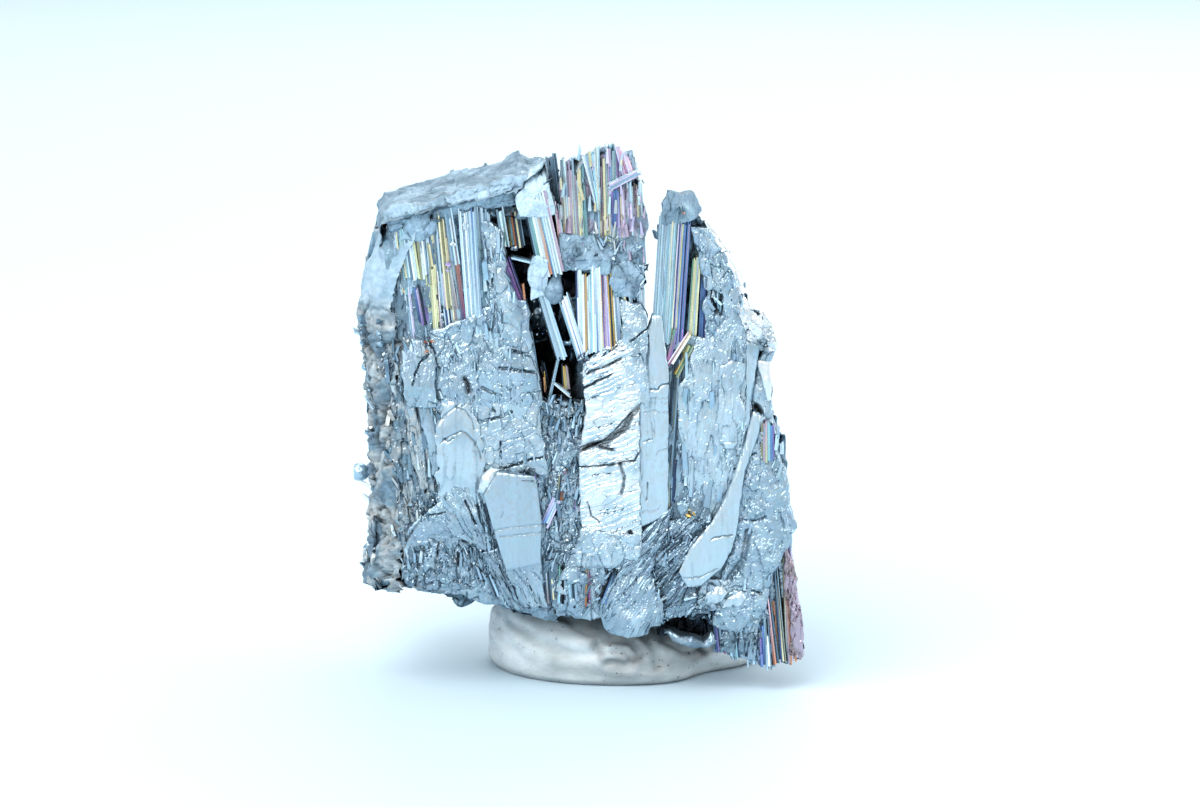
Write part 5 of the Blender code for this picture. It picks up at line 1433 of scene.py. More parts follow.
# The right side: the broken crest, the long pale face that bends as it falls, and the rumpled surface.
RIGHT_FACES = (
    Sheet(((7.7, 25.4), (7.7, 29.3), (7.1, 32.3), (6.8, 34.8)), ((11.0, 25.4), (10.6, 28.5), (9.6, 31.1), (8.1, 34.4)),
        (0.55, 0.5, 0.45, 0.3), BROKEN, "steel pale", rough=0.7, slant=-0.3, splits=(10, 60),
        cracks=(Crack(((8.2, 29.8), (8.5, 28.4)), 0.2, 0.4, 0.8), Crack(((8.8, 29.5), (8.8, 28.2)), 0.15, 0.3, 0.8))),
    # The white of the crest sheets here and below is painted highlight, where the crest faces the light.
    Sheet(((10.6, 25.4), (10.1, 28.4), (9.2, 31.1), (7.7, 35.0)), ((12.7, 25.4), (12.4, 27.2), (11.4, 28.4),
        (10.2, 30.6), (8.1, 34.5)), (0.42, 0.36, 0.25, 0.2), BROKEN, "white white", rough=0.6, tilt=-0.3, slant=-0.5),
    Sheet(((10.7, 25.4), (10.5, 27.1), (10.1, 28.4)), ((12.7, 25.4), (12.6, 27.1), (12.0, 28.0)), (0.5, 0.5, 0.3),
        BROKEN, "white slate", rough=1.2, tilt=-0.4, slant=-0.5),
    Sheet(((7.7, 25.4), (8.5, 27.1), (9.3, 28.7)), ((10.7, 25.6), (10.6, 27.4), (10.4, 29.1)), (0.65, 0.6, 0.4),
        FIBROUS, "pale steel", slant=0.4),
    Sheet(((6.7, 6.9), (7.2, 11.1), (9.0, 15.2), (10.3, 19.7)), ((13.9, 6.9), (14.2, 11.1), (13.7, 15.2),
        (13.0, 20.0)), (0.3, 0.4, 0.4, 0.2), RUMPLED, "silver steel", rough=0.8, step=0.12),
    Sheet(((8.3, 4.8), (8.9, 7.7), (9.4, 10.0), (9.9, 13.0), (10.1, 15.9), (10.9, 18.3), (11.7, 20.3)), ((12.0, 4.7),
        (12.4, 7.8), (13.7, 10.7), (14.4, 12.8), (13.8, 14.8), (13.4, 17.1), (12.7, 20.6)),
        (0.6, 0.9, 1.05, 1.0, 0.9, 0.7, 0.45), RUMPLED, "steel silver", crown=0.25, cracks=(Crack(((10.4, 17.3),
        (10.8, 17.9), (11.4, 18.0)), 0.08, 0.15, 0.5), Crack(((9.3, 8.3), (10.5, 10.0), (10.9, 12.2)), 0.25, 0.3, 0.4),
        Crack(((10.2, 13.1), (11.5, 13.0), (12.1, 13.3)), 0.09, 0.15, 0.4), Crack(((8.6, 7.4), (10.0, 8.0),
        (11.8, 7.5)), 0.14, 0.25, 0.6))),
    Sheet(((6.4, 8.1), (5.8, 9.2), (6.6, 11.0), (8.2, 13.0), (9.1, 14.6), (9.9, 16.7), (10.6, 18.9), (11.2, 21.1)),
        ((7.5, 8.2), (8.9, 9.5), (9.6, 10.7), (10.0, 12.2), (10.3, 14.5), (10.6, 16.7), (11.3, 18.5), (12.1, 20.6)),
        (1.3, 1.45, 1.5, 1.45, 1.3, 1.05, 0.9), SMOOTH, "pale pale", crown=0.1, rough=1.2, ragged=0.03,
        cracks=(Crack(((8.2, 11.8), (9.0, 12.0), (9.7, 12.0)), 0.06, 0.15, 0.7), Crack(((6.2, 8.8), (7.4, 8.9),
        (8.6, 9.5)), 0.05, 0.1, 0.5))),
    Sheet(((7.0, 6.5), (7.1, 7.2), (7.7, 8.5)), ((12.6, 5.3), (12.1, 6.9), (10.6, 8.6)), (0.75, 0.9, 0.85), BROKEN,
        "steel pale", rough=0.9),
    Sheet(((14.0, 2.9), (13.8, 6.9), (13.6, 10.7)), ((15.1, 3.1), (14.7, 7.3), (13.9, 11.3)), (0.7, 0.85, 0.7),
        FIBROUS, "mauve brown", rough=0.9, ragged=0.12, splits=(14, 82)),
    Sheet(((7.7, 6.8), (7.8, 7.5), (8.3, 8.0)), ((9.0, 6.9), (9.4, 7.7), (9.0, 8.1)), (1.1, 1.2, 1.0), SMOOTH,
        "white pale", crown=0.1, rough=2.0),
    Sheet(((9.0, 6.5), (9.4, 7.2), (10.2, 7.7)), ((10.4, 6.6), (10.8, 7.3), (10.6, 7.8)), (1.1, 1.2, 1.0), SMOOTH,
        "white pale", crown=0.1, rough=2.0),
)
# Grainy masses in the channel and along the foot of the block.
BASE_FACES = (
    Sheet(((-4.6, 6.0), (-4.4, 11.5), (-4.2, 17.4), (-4.3, 21.7)), ((-1.0, 6.0), (-1.2, 11.5), (-1.2, 17.4),
        (-1.2, 21.7)), (0.35, 0.35, 0.35, 0.0), BROKEN, "silver steel", rough=1.1, slant=0.1, splits=(10, 70)),
    Sheet(((-7.4, 6.2), (-7.4, 7.7), (-5.9, 10.0)), ((8.3, 5.7), (7.4, 9.2), (6.8, 13.3)), (0.4, 0.6, 0.6), BROKEN,
        "slate steel", slant=0.3),
    Sheet(((-3.3, 5.9), (-3.0, 8.8), (-1.9, 11.1)), ((0.3, 5.6), (0.4, 8.8), (0.3, 10.9)), (0.7, 0.95, 1.0), BROKEN,
        "steel pale", rough=0.8, slant=-0.1),
    Sheet(((1.0, 4.4), (-0.1, 5.9), (-0.1, 7.1), (0.4, 9.1)), ((3.4, 4.3), (4.7, 5.6), (4.4, 7.1), (3.7, 9.8)),
        (0.85, 1.1, 1.15, 0.95), FIBROUS, "steel pale", crown=0.3, slant=0.5, splits=(8, 55)),
    Sheet(((0.3, 8.6), (1.0, 10.0), (2.4, 11.5)), ((3.8, 9.1), (4.7, 11.1), (5.4, 14.0)), (1.1, 1.2, 1.0), SHARDS,
        "steel slate", rough=0.7, slant=0.9),
    Sheet(((3.4, 6.5), (4.1, 10.0), (5.0, 13.0)), ((6.2, 6.9), (7.1, 10.6), (8.1, 13.4)), (0.8, 0.95, 0.9), SHARDS,
        "slate steel", crown=0.15, rough=0.9, slant=0.9),
    Sheet(((4.1, 5.6), (4.3, 6.5), (5.0, 8.0)), ((7.8, 6.2), (7.4, 6.9), (6.9, 8.3)), (0.6, 0.85, 0.9), BROKEN,
        "steel slate", slant=0.5),
    Sheet(((6.0, 12.8), (5.6, 14.1), (6.5, 14.9)), ((8.1, 12.7), (7.9, 13.9), (7.4, 14.9)), (0.95, 0.85, 0.6), BROKEN,
        "slate steel"),
    # A black sheet set back in the hollow under the foot: painted shade.
    Sheet(((4.1, 3.9), (4.2, 6.0)), ((8.7, 3.6), (8.5, 6.8)), (-0.9, -0.7), SHARDS, "black dark"),
    Sheet(((4.7, 4.4), (5.9, 3.5), (7.6, 3.3), (8.7, 3.8)), ((4.7, 5.0), (6.1, 4.2), (7.6, 3.9), (8.4, 4.4)),
        (0.3, 0.75, 0.75, 0.4), FIBROUS, "slate silver", crown=0.2, rough=0.4, slant=-3.0),
    Sheet(((9.0, 2.9), (9.0, 3.9), (9.3, 5.3)), ((12.8, 2.0), (12.8, 3.5), (12.4, 5.1)), (0.55, 0.75, 0.6), SHARDS,
        "steel slate", crown=0.15, rough=0.8, slant=-0.1, splits=(8, 80)),
    Sheet(((-7.4, 6.5), (-7.5, 7.8)), ((-3.0, 5.1), (-3.5, 6.6)), (0.3, 0.7, 0.7), BROKEN, "steel slate"),
)
# Slivers and chips where the crystals snapped or grew as grains.
SLIVERS = (
    Shards(((-14.9, 8.3), (-15.3, 16.7), (-15.5, 25.6), (-14.6, 26.3), (-14.1, 21.9), (-11.8, 14.5), (-14.4, 11.1)),
        50, (0.4, 1.2), (0.1, 0.5), -10, "steel beige slate beige"),
    Shards(((-14.3, 25.9), (-11.7, 25.9), (-11.3, 13.0), (-14.0, 11.5)), 70, (0.4, 1.5), (0.5, 0.8), -9,
        "steel beige pale slate"),
    Shards(((-14.3, 8.3), (-14.3, 11.1), (-9.1, 11.6), (-7.5, 7.7)), 70, (0.3, 1.1), (0.5, 0.9), -12,
        "slate steel pale steel"),
    Shards(((-8.5, 25.9), (-8.7, 33.9), (-7.1, 33.6), (-5.5, 25.9)), 40, (0.4, 1.4), (0.6, 0.9), -8,
        "pale steel pale steel"),
    Shards(((-11.7, 21.9), (-11.7, 25.9), (-5.1, 25.9), (-4.3, 16.7), (-9.0, 16.7)), 90, (0.25, 0.8), (0.78, 0.95), -8,
        "pale steel pale steel"),
    Shards(((-4.1, 6.5), (-4.3, 13.0), (-4.3, 21.9), (-2.9, 22.0), (-1.3, 21.5), (-1.5, 16.7), (-1.2, 6.5)), 170,
        (0.3, 1.0), (0.3, 0.8), 4, "steel slate pale steel silver"),
    Shards(((-1.2, 6.0), (-1.5, 10.7), (3.7, 10.7), (6.6, 13.7), (8.2, 13.0), (6.6, 10.0), (8.3, 7.7), (7.4, 5.8),
        (3.0, 5.1)), 120, (0.3, 1.0), (0.9, 1.3), 24, "slate steel pale steel", 26.0),
    Shards(((-2.9, 32.0), (-2.9, 39.6), (-1.4, 40.0), (1.6, 40.5), (2.3, 39.1), (3.3, 37.3), (3.3, 32.0)), 70,
        (0.4, 1.3), (0.3, 0.75), -3, "steel straw pale mauve lilac beige", 9.0),
    Shards(((-3.1, 33.9), (3.3, 33.9), (3.2, 29.7), (1.2, 29.4), (0.3, 31.3), (-2.9, 31.7)), 40, (0.3, 0.8),
        (0.6, 1.0), 0, "steel slate pale", 35.0),
    Shards(((7.4, 33.9), (8.1, 33.6), (10.5, 30.0), (10.7, 25.6), (7.9, 25.6), (7.6, 32.0)), 50, (0.3, 0.9),
        (0.4, 0.6), -16, "pale steel slate steel", 20.0),
    Shards(((6.2, 14.5), (6.0, 24.8), (10.5, 25.9), (10.4, 18.9), (8.5, 13.7)), 36, (0.8, 2.4), (0.7, 0.9), 2,
        "pale steel steel", 5.0),
    Shards(((9.6, 6.9), (10.4, 14.5), (11.9, 20.0), (13.3, 19.7), (13.8, 13.0), (12.4, 6.9)), 20, (0.5, 1.4),
        (0.9, 1.2), 8, "pale steel", 10.0),
    Shards(((-1.8, 25.4), (1.8, 25.6), (1.2, 23.8), (-1.0, 23.4)), 50, (0.3, 0.9), (0.9, 1.3), 20,
        "slate dark steel pale", 30.0),
)
CHIPS = (
    Rubble(((-2.8, 33.9), (0.0, 34.7), (3.3, 33.9), (3.2, 30.0), (1.2, 29.5), (0.3, 31.5), (-2.8, 31.9)), 70,
        (0.1, 0.3), (0.5, 0.8), "slate steel pale steel"),
    Rubble(((-4.1, 6.5), (-4.3, 13.0), (-4.3, 21.9), (-2.9, 22.0), (-1.3, 21.5), (-1.5, 16.7), (-1.3, 6.5)), 240,
        (0.06, 0.24), (0.3, 0.8), "steel slate pale white steel"),
    Rubble(((-1.6, 6.0), (-1.6, 11.1), (3.7, 11.1), (6.6, 14.1), (8.2, 13.0), (6.6, 10.0), (8.3, 7.7), (7.4, 6.0),
        (3.0, 5.1)), 360, (0.06, 0.24), (0.9, 1.3), "slate steel pale steel white"),
    Rubble(((6.7, 5.9), (7.4, 7.7), (11.8, 7.7), (12.4, 5.4), (8.9, 5.3)), 110, (0.08, 0.25), (0.8, 1.1),
        "steel slate pale"),
    Rubble(((-14.8, 8.5), (-15.0, 14.5), (-11.8, 15.2), (-11.0, 13.6), (-8.8, 11.5), (-7.7, 7.5)), 200, (0.06, 0.26),
        (0.5, 0.95), "steel slate beige pale"),
    Rubble(((7.4, 33.6), (8.1, 33.6), (12.0, 27.1), (12.3, 25.6), (10.6, 25.6)), 80, (0.06, 0.2), (0.28, 0.45),
        "slate steel pale"),
)
# Bright specks: the white chips are painted highlights, and the coloured ones are tarnished chips.
GLINTS = (
    Rubble(((-4.7, 28.7), (-4.4, 28.7), (-4.3, 27.9), (-4.6, 27.8)), 6, (0.2, 0.4), (-0.6, -0.3), "white"),
    Rubble(((-5.4, 29.3), (-3.6, 29.3), (-3.2, 25.9), (-5.1, 25.9)), 26, (0.06, 0.22), (-1.6, -0.4),
        "white pale blue steel"),
    Rubble(((-9.9, 35.0), (-9.5, 35.0), (-9.5, 34.4), (-9.9, 34.4)), 5, (0.2, 0.35), (0.4, 0.5), "white"),
    Rubble(((-10.8, 33.5), (-10.5, 33.5), (-10.5, 33.1), (-10.8, 33.1)), 4, (0.2, 0.3), (0.3, 0.4), "white"),
    Rubble(((-11.2, 31.9), (-10.6, 31.9), (-10.6, 31.3), (-11.2, 31.3)), 6, (0.2, 0.35), (0.25, 0.4),
        "violet blue lilac"),
    Rubble(((-11.7, 28.4), (-11.4, 28.4), (-11.4, 27.5), (-11.7, 27.5)), 5, (0.15, 0.3), (0.2, 0.3), "white"),
    Rubble(((-3.4, 21.6), (-1.8, 21.7), (-1.8, 20.4), (-3.2, 20.4)), 16, (0.3, 0.6), (-0.1, 0.2),
        "white pale slate black"),
    Rubble(((-2.9, 16.8), (-2.4, 16.8), (-2.5, 15.8), (-2.9, 15.9)), 4, (0.12, 0.26), (0.5, 0.7),
        "orange copper pink"),
    Rubble(((6.5, 13.9), (7.1, 13.9), (7.1, 13.3), (6.5, 13.3)), 6, (0.2, 0.4), (1.0, 1.1), "straw gold"),
    Rubble(((-6.8, 33.3), (-6.1, 33.2), (-6.1, 32.6), (-6.8, 32.6)), 5, (0.2, 0.35), (-0.6, -0.3), "white pale"),
    Rubble(((5.7, 36.1), (6.4, 36.1), (6.4, 35.5), (5.7, 35.5)), 5, (0.15, 0.35), (0.65, 0.75), "orange mauve slate"),
    Rubble(((-12.8, 26.3), (-12.0, 26.5), (-12.0, 25.1), (-12.6, 25.1)), 10, (0.12, 0.3), (0.6, 0.9),
        "copper dark orange white"),
)
# The cleft and the slots, where the core is painted black as their shade, as outlines of (x, z).
SHADED_HOLLOWS = (
    ((-7.3, 33.4), (-5.5, 33.4), (-4.9, 32.0), (-4.7, 29.3), (-3.2, 25.9), (-2.9, 24.0), (-3.4, 21.9), (-4.0, 21.7),
        (-4.7, 24.8), (-5.8, 26.7), (-5.8, 29.3), (-6.5, 32.0)),
    ((-3.2, 31.0), (-1.6, 31.5), (-1.5, 27.1), (-2.5, 28.4)),
    ((-4.7, 24.4), (-1.9, 24.4), (-1.8, 21.6), (-2.5, 20.1), (-3.5, 20.3), (-4.1, 22.0)),
    ((-3.8, 39.5), (-2.8, 39.5), (-2.8, 36.1), (-3.6, 36.8)),
    ((-4.4, 16.7), (-3.5, 16.7), (-2.9, 13.0), (-4.1, 12.2)),
)


def bead(draft: Draft, centre: Array, radius: float, tint: Array, cells: int = 5, knobs: float = 1.0) -> None:
    """Adds a knobbly rounded grain.

    Args:
        draft: the piece it goes to.
        centre: its middle.
        radius: its size.
        tint: its linear colour.
        cells: how many quads run along each of its six sides.
        knobs: how lumpy it is.
    """
    ticks = np.tan(np.linspace(-math.pi / 4, math.pi / 4, cells + 1))
    a, b = np.meshgrid(ticks, ticks, indexing="ij")
    index = np.arange((cells + 1) ** 2).reshape(cells + 1, cells + 1)
    quads = np.stack([index[:-1, :-1], index[1:, :-1], index[1:, 1:], index[:-1, 1:]], axis=-1).reshape(-1, 4)
    for axis in range(3):
        for sign in (-1.0, 1.0):
            side = np.stack([a, b, np.full_like(a, sign)], axis=-1).reshape(-1, 3)
            side = np.roll(side, axis, axis=1)
            side /= np.linalg.norm(side, axis=1, keepdims=True)
            swell = 1.0 + knobs * (0.28 * NOISE.at(side + centre * 3.1, 0.75) + 0.12 * NOISE.at(side + centre, 0.3))
            draft.add(centre + side * radius * swell[:, None], quads if sign > 0 else quads[:, ::-1], tint)


def even_skin(node: str, voxel: float) -> tuple[Array, Array, Array]:
    """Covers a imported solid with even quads.

    Args:
        node: the solid's name.
        voxel: the side of a quad, in millimetres.

    Returns:
        The corners in millimetres, the outward direction at each, and the faces.
    """
    copy = bpy.data.objects.new("skin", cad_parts[node].data.copy())
    bpy.context.scene.collection.objects.link(copy)
    remesh = copy.modifiers.new("even", "REMESH")
    remesh.mode = "VOXEL"
    remesh.voxel_size = voxel * MM
    mesh = bpy.data.meshes.new_from_object(copy.evaluated_get(bpy.context.evaluated_depsgraph_get()))
    bpy.data.objects.remove(copy)
    corners = np.empty(len(mesh.vertices) * 3)
    mesh.vertices.foreach_get("co", corners)
    normals = np.empty(len(mesh.vertices) * 3)
    mesh.vertex_normals.foreach_get("vector", normals)
    faces = np.empty(len(mesh.loops), np.int32)
    mesh.loops.foreach_get("vertex_index", faces)
    bpy.data.meshes.remove(mesh)
    return corners.reshape(-1, 3) / MM, normals.reshape(-1, 3), faces.reshape(-1, 4)


@dataclass(frozen=True)
class RoughCore:
    """The mass of the block behind its faces and columns, with their broken backs.

    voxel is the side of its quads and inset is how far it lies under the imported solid. tall and low
    are its relief on upright and on level parts. notch is the (x, z) box that stays open between the
    towers, and underside (x, z) and shoulder (z, x) hold in its lower and upper left edges.
    """

    voxel: float = 0.32
    inset: float = 0.3
    front_inset: float = 0.5
    cap_inset: float = 0.9
    tall: Facets = Facets((0.6, 0.6, 2.4), 0.2, 0.25, 0.1)
    low: Facets = Facets((0.7, 0.7, 0.7), 0.14, 0.28, 0.1)
    notch: tuple[Point, Point] = ((3.1, 4.6), (30.9, 32.4))
    underside: Line = ((-17.0, 7.3), (-16.4, 7.5), (-15.1, 8.0), (-13.2, 7.5), (-11.8, 6.9), (-10.0, 6.0))
    shoulder: Line = ((30.5, -17.7), (32.4, -17.25), (34.0, -16.8))
    hollow_reach: float = 0.35
    hollow_depth: float = 7.5

    def tints(self, corners: Array, normals: Array) -> Array:
        """Colours by zone: painted shade as black in the cleft and slate in front, lighter steel on top, beige down the
        left.

        Args:
            corners: (n, 3) places.
            normals: (n, 3) outward directions.

        Returns:
            (n, 3) linear colours.
        """
        x, y, z = corners.T
        behind = y - face_y(z)
        mix = smooth_step(-0.3, 0.4, NOISE.layers(corners, 1.4))[:, None]
        # Facing up or lying further back turns the core lighter, and facing forward darker: painted light and shade.
        outer = np.maximum(smooth_step(0.2, 0.8, normals[:, 2]), smooth_step(0.9, 3.5, behind))[:, None]
        colour = blend(outer, blend(mix, Tint.SLATE, Tint.DARK), blend(mix, Tint.STEEL, Tint.SLATE))
        left = (smooth_step(0.2, 0.7, -normals[:, 0]) * smooth_step(-12.5, -14.0, x))[:, None]
        colour = blend(left, colour, blend(mix, Tint.BEIGE, Tint.SLATE))
        # Painted shade: the core in the cleft and slots is coloured black.
        for outline in SHADED_HOLLOWS:
            painted_shade = inside(outline, x, z) | (distance_to(outline + outline[:1], x, z) < self.hollow_reach)
            colour[painted_shade & (behind > -0.2) & (behind < self.hollow_depth)] = Tint.BLACK.linear()
        return colour

    def build(self, material: Material) -> Piece:
        """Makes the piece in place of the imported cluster.

        Args:
            material: its finish.

        Returns:
            The piece.
        """
        draft = Draft()
        corners, normals, faces = even_skin("stibnite_cluster", self.voxel)
        upright = 1.0 - np.abs(normals[:, 2])
        tall, tall_tone = self.tall.read(corners, False)
        low, low_tone = self.low.read(corners + 3.0, False)
        behind = corners[:, 1] - face_y(corners[:, 2])
        capped = (normals[:, 2] > 0.4) & (corners[:, 0] < -3.5)
        inset = self.inset + self.front_inset * (behind < 0.9) * (normals[:, 1] < -0.3) + self.cap_inset * capped
        tints = self.tints(corners, normals) * (upright * tall_tone + (1.0 - upright) * low_tone)[:, None]
        relief = upright * tall + (1.0 - upright) * low - inset
        corners = corners + normals * np.minimum(relief, -0.08)[:, None]
        corners[:, 2] = np.maximum(corners[:, 2], np.interp(corners[:, 0], *zip(*self.underside), right=0.0))
        corners[:, 0] = np.maximum(corners[:, 0], np.interp(corners[:, 2], *zip(*self.shoulder), left=-99.0))
        (low_x, high_x), (low_z, high_z) = self.notch
        x, _, z = corners.T
        stray = (x > low_x) & (x < high_x) & (z > low_z) & (z < high_z)
        draft.add(corners, faces[~stray[faces].all(axis=1)], tints, True)
        core = draft.piece("rough_core", material)
        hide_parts("stibnite_cluster")
        return core


@dataclass(frozen=True)
class Group:
    """One named piece of the front: the finish it wears and the faces, columns or chips it is made of."""

    name: str
    finish: Finish
    parts: tuple[Sheet, ...] | tuple[Bundle, ...] | tuple[Rubble | Shards, ...]

    def build(self, material: Material, dice: Dice) -> Piece:
        """Makes the piece.

        Args:
            material: its finish.
            dice: the sources that all groups share.

        Returns:
            The piece.
        """
        draft = Draft(dice)
        for part in self.parts:
            part.lay(draft)
        return draft.piece(self.name, material)


GROUPS = (
    Group("left_faces", Finish.FACES, LEFT_FACES),
    Group("caps", Finish.CRUST, CAPS),
    Group("cleavage_faces", Finish.FACES, CLEAVAGE_FACES),
    Group("right_faces", Finish.FACES, RIGHT_FACES),
    Group("base_faces", Finish.FACES, BASE_FACES),
    Group("left_panel_columns", Finish.COLUMNS, LEFT_PANEL),
    Group("shoulder_prisms", Finish.COLUMNS, SHOULDER),
    Group("leaning_blade_prisms", Finish.COLUMNS, LEANING_BLADE),
    Group("cleft_rods", Finish.COLUMNS, CLEFT_RODS),
    Group("tower_columns", Finish.COLUMNS, TOWER),
    Group("bright_columns", Finish.COLUMNS, BRIGHT_COLUMNS),
    Group("right_tower_prisms", Finish.COLUMNS, RIGHT_TOWER),
    Group("fan_prisms", Finish.COLUMNS, FAN),
    Group("channel_rods", Finish.COLUMNS, CHANNEL),
    Group("slivers", Finish.RUBBLE, SLIVERS),
    Group("chips", Finish.RUBBLE, CHIPS),
    Group("glints", Finish.RUBBLE, GLINTS),
)


def edge_x(edge: Line, z: float) -> float:
    """Where an edge of the block is at a height, from its (z, x) corners."""
    return float(np.interp(z, [corner[0] for corner in edge], [corner[1] for corner in edge]))


BACK_HUES = ("steel slate steel pale", "pale steel beige slate", "slate steel slate steel",
             "steel pale slate teal>steel", "steel lilac>steel pale slate", "beige steel straw>steel slate",
             "steel slate steel slate")
LEFT_EDGE = ((6.0, -17.8), (8.6, -18.3), (11.0, -17.5), (16.5, -17.6), (21.6, -17.6), (25.0, -18.1), (28.5, -18.4),
             (30.8, -18.0), (34.0, -16.6))


@dataclass(frozen=True)
class HiddenSides:
    """Snapped striated columns over the back and the right flank, which no one view of the front shows.

    The right edge is (z, x) corners and the back's ends are (x, z). spacing is how far apart the back's
    columns stand, fan is how much they lean outward as they rise, and column and flank_column are
    their widths. lengths are the shares that each is snapped into, proud is how far those stand out,
    and turn is how far they are spun, in degrees.
    """

    right: Line = ((4.0, 13.4), (7.5, 14.2), (10.6, 14.2), (14.5, 13.6), (18.4, 13.4), (22.8, 12.6), (25.2, 12.6),
                   (27.5, 11.2), (30.5, 9.4), (34.5, 6.9))
    back_top: Line = ((-16.2, 30.6), (-14.9, 32.6), (-12.2, 34.8), (-7.6, 37.0), (-4.6, 37.4), (-3.4, 33.0),
                      (2.2, 32.0), (2.8, 22.6), (4.6, 22.6), (5.2, 31.6), (8.4, 29.6), (11.2, 24.5), (12.5, 19.6))
    back_foot: Line = ((-17.0, 8.0), (-10.0, 7.2), (-6.0, 6.6), (6.0, 5.8), (13.0, 6.3))
    back_y: float = 7.0
    back_from: float = -16.2
    spacing: float = 1.25
    back_count: int = 24
    column: float = 1.5
    fan: float = 0.0026
    flank_rows: int = 7
    flank_from: float = 2.4
    flank_spacing: float = 1.45
    flank_column: float = 1.75
    flank_facing: Triple = (1.0, -0.15, 0.1)
    lengths: Point = (0.18, 0.5)
    overlap: float = 0.05
    proud: Point = (-0.55, 0.15)
    turn: float = 24.0
    ragged: float = 0.5
    dice: Dice = field(default_factory=lambda: Dice(SEED + 1))

    def lay_column(self, draft: Draft, low: Array, high: Array, facing: Array, width: float) -> None:
        """Adds one column, snapped into lengths that stand proud by differing amounts.

        Args:
            draft: the piece it goes to.
            low: the middle of its outer face at the foot.
            high: the middle of its outer face at the top.
            facing: which way it faces.
            width: how wide it is.
        """
        chance = self.dice.chance
        at = 0.0
        while at < 0.97:
            stop = min(1.0, at + chance.uniform(*self.lengths))
            proud = facing * chance.uniform(*self.proud)
            foot = low + (high - low) * max(0.0, at - self.overlap) + proud
            head = low + (high - low) * stop + proud
            lay_bundle(draft, foot, head, facing, (width * chance.uniform(0.9, 1.2), width),
                       chance.uniform(-self.turn, self.turn), chance.choice(list(Tip)), chance.choice(BACK_HUES),
                       self.ragged)
            at = stop

    def back(self, material: Material) -> Piece:
        """Makes the rows across the back.

        Args:
            material: its finish.

        Returns:
            The piece.
        """
        draft = Draft(self.dice)
        chance = self.dice.chance
        for index in range(self.back_count):
            x = self.back_from + index * self.spacing
            foot_z = float(np.interp(x, *zip(*self.back_foot))) + chance.uniform(0.0, 0.6)
            top_z = float(np.interp(x, *zip(*self.back_top))) - chance.uniform(0.0, 0.7)
            lean = self.fan * x * (top_z - foot_z)
            low = np.array([x - 0.4, self.back_y + chance.uniform(-0.2, 0.1), foot_z])
            self.lay_column(draft, low, np.array([x + lean, low[1], top_z]), BACK, self.column)
        return draft.piece("back_columns", material)

    def flank(self, material: Material) -> Piece:
        """Makes the rows down the right flank, which lean back with the front.

        Args:
            material: its finish.

        Returns:
            The piece.
        """
        draft = Draft(self.dice)
        chance = self.dice.chance
        for index in range(self.flank_rows):
            start = self.right[0][0] + chance.uniform(0.3, 1.4)
            stop = self.right[-1][0] - chance.uniform(0.2, 1.2) - 0.7 * index
            heights = [start, *[z for z, _ in self.right if start < z < stop][1::2], stop]
            behind = self.flank_from + self.flank_spacing * index
            ends = [np.array([edge_x(self.right, z) - 0.65 - 0.1 * index, face_y(z, -behind), z]) for z in heights]
            for low, high in zip(ends, ends[1:]):
                self.lay_column(draft, low, high, np.array(self.flank_facing), self.flank_column)
        return draft.piece("right_flank_columns", material)


def cluster_tree() -> BVHTree:
    """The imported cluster, ready for rays to be cast at it."""
    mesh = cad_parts["stibnite_cluster"].data
    return BVHTree.FromPolygons([vert.co for vert in mesh.vertices], [face.vertices for face in mesh.polygons])


def drop(tree: BVHTree, x: float, y: float) -> Point:
    """Where a plumb line at (x, y) meets the cluster, and how level it is there.

    Args:
        tree: the cluster.
        x: its place across, in millimetres.
        y: its place back.

    Returns:
        The height in millimetres and the upward part of the surface's direction, or 0 and 0.
    """
    place, normal, _, _ = tree.ray_cast(Vector((x * MM, y * MM, ABOVE)), Vector((0.0, 0.0, -1.0)))
    return (place.z / MM, normal.z) if place is not None else (0.0, 0.0)


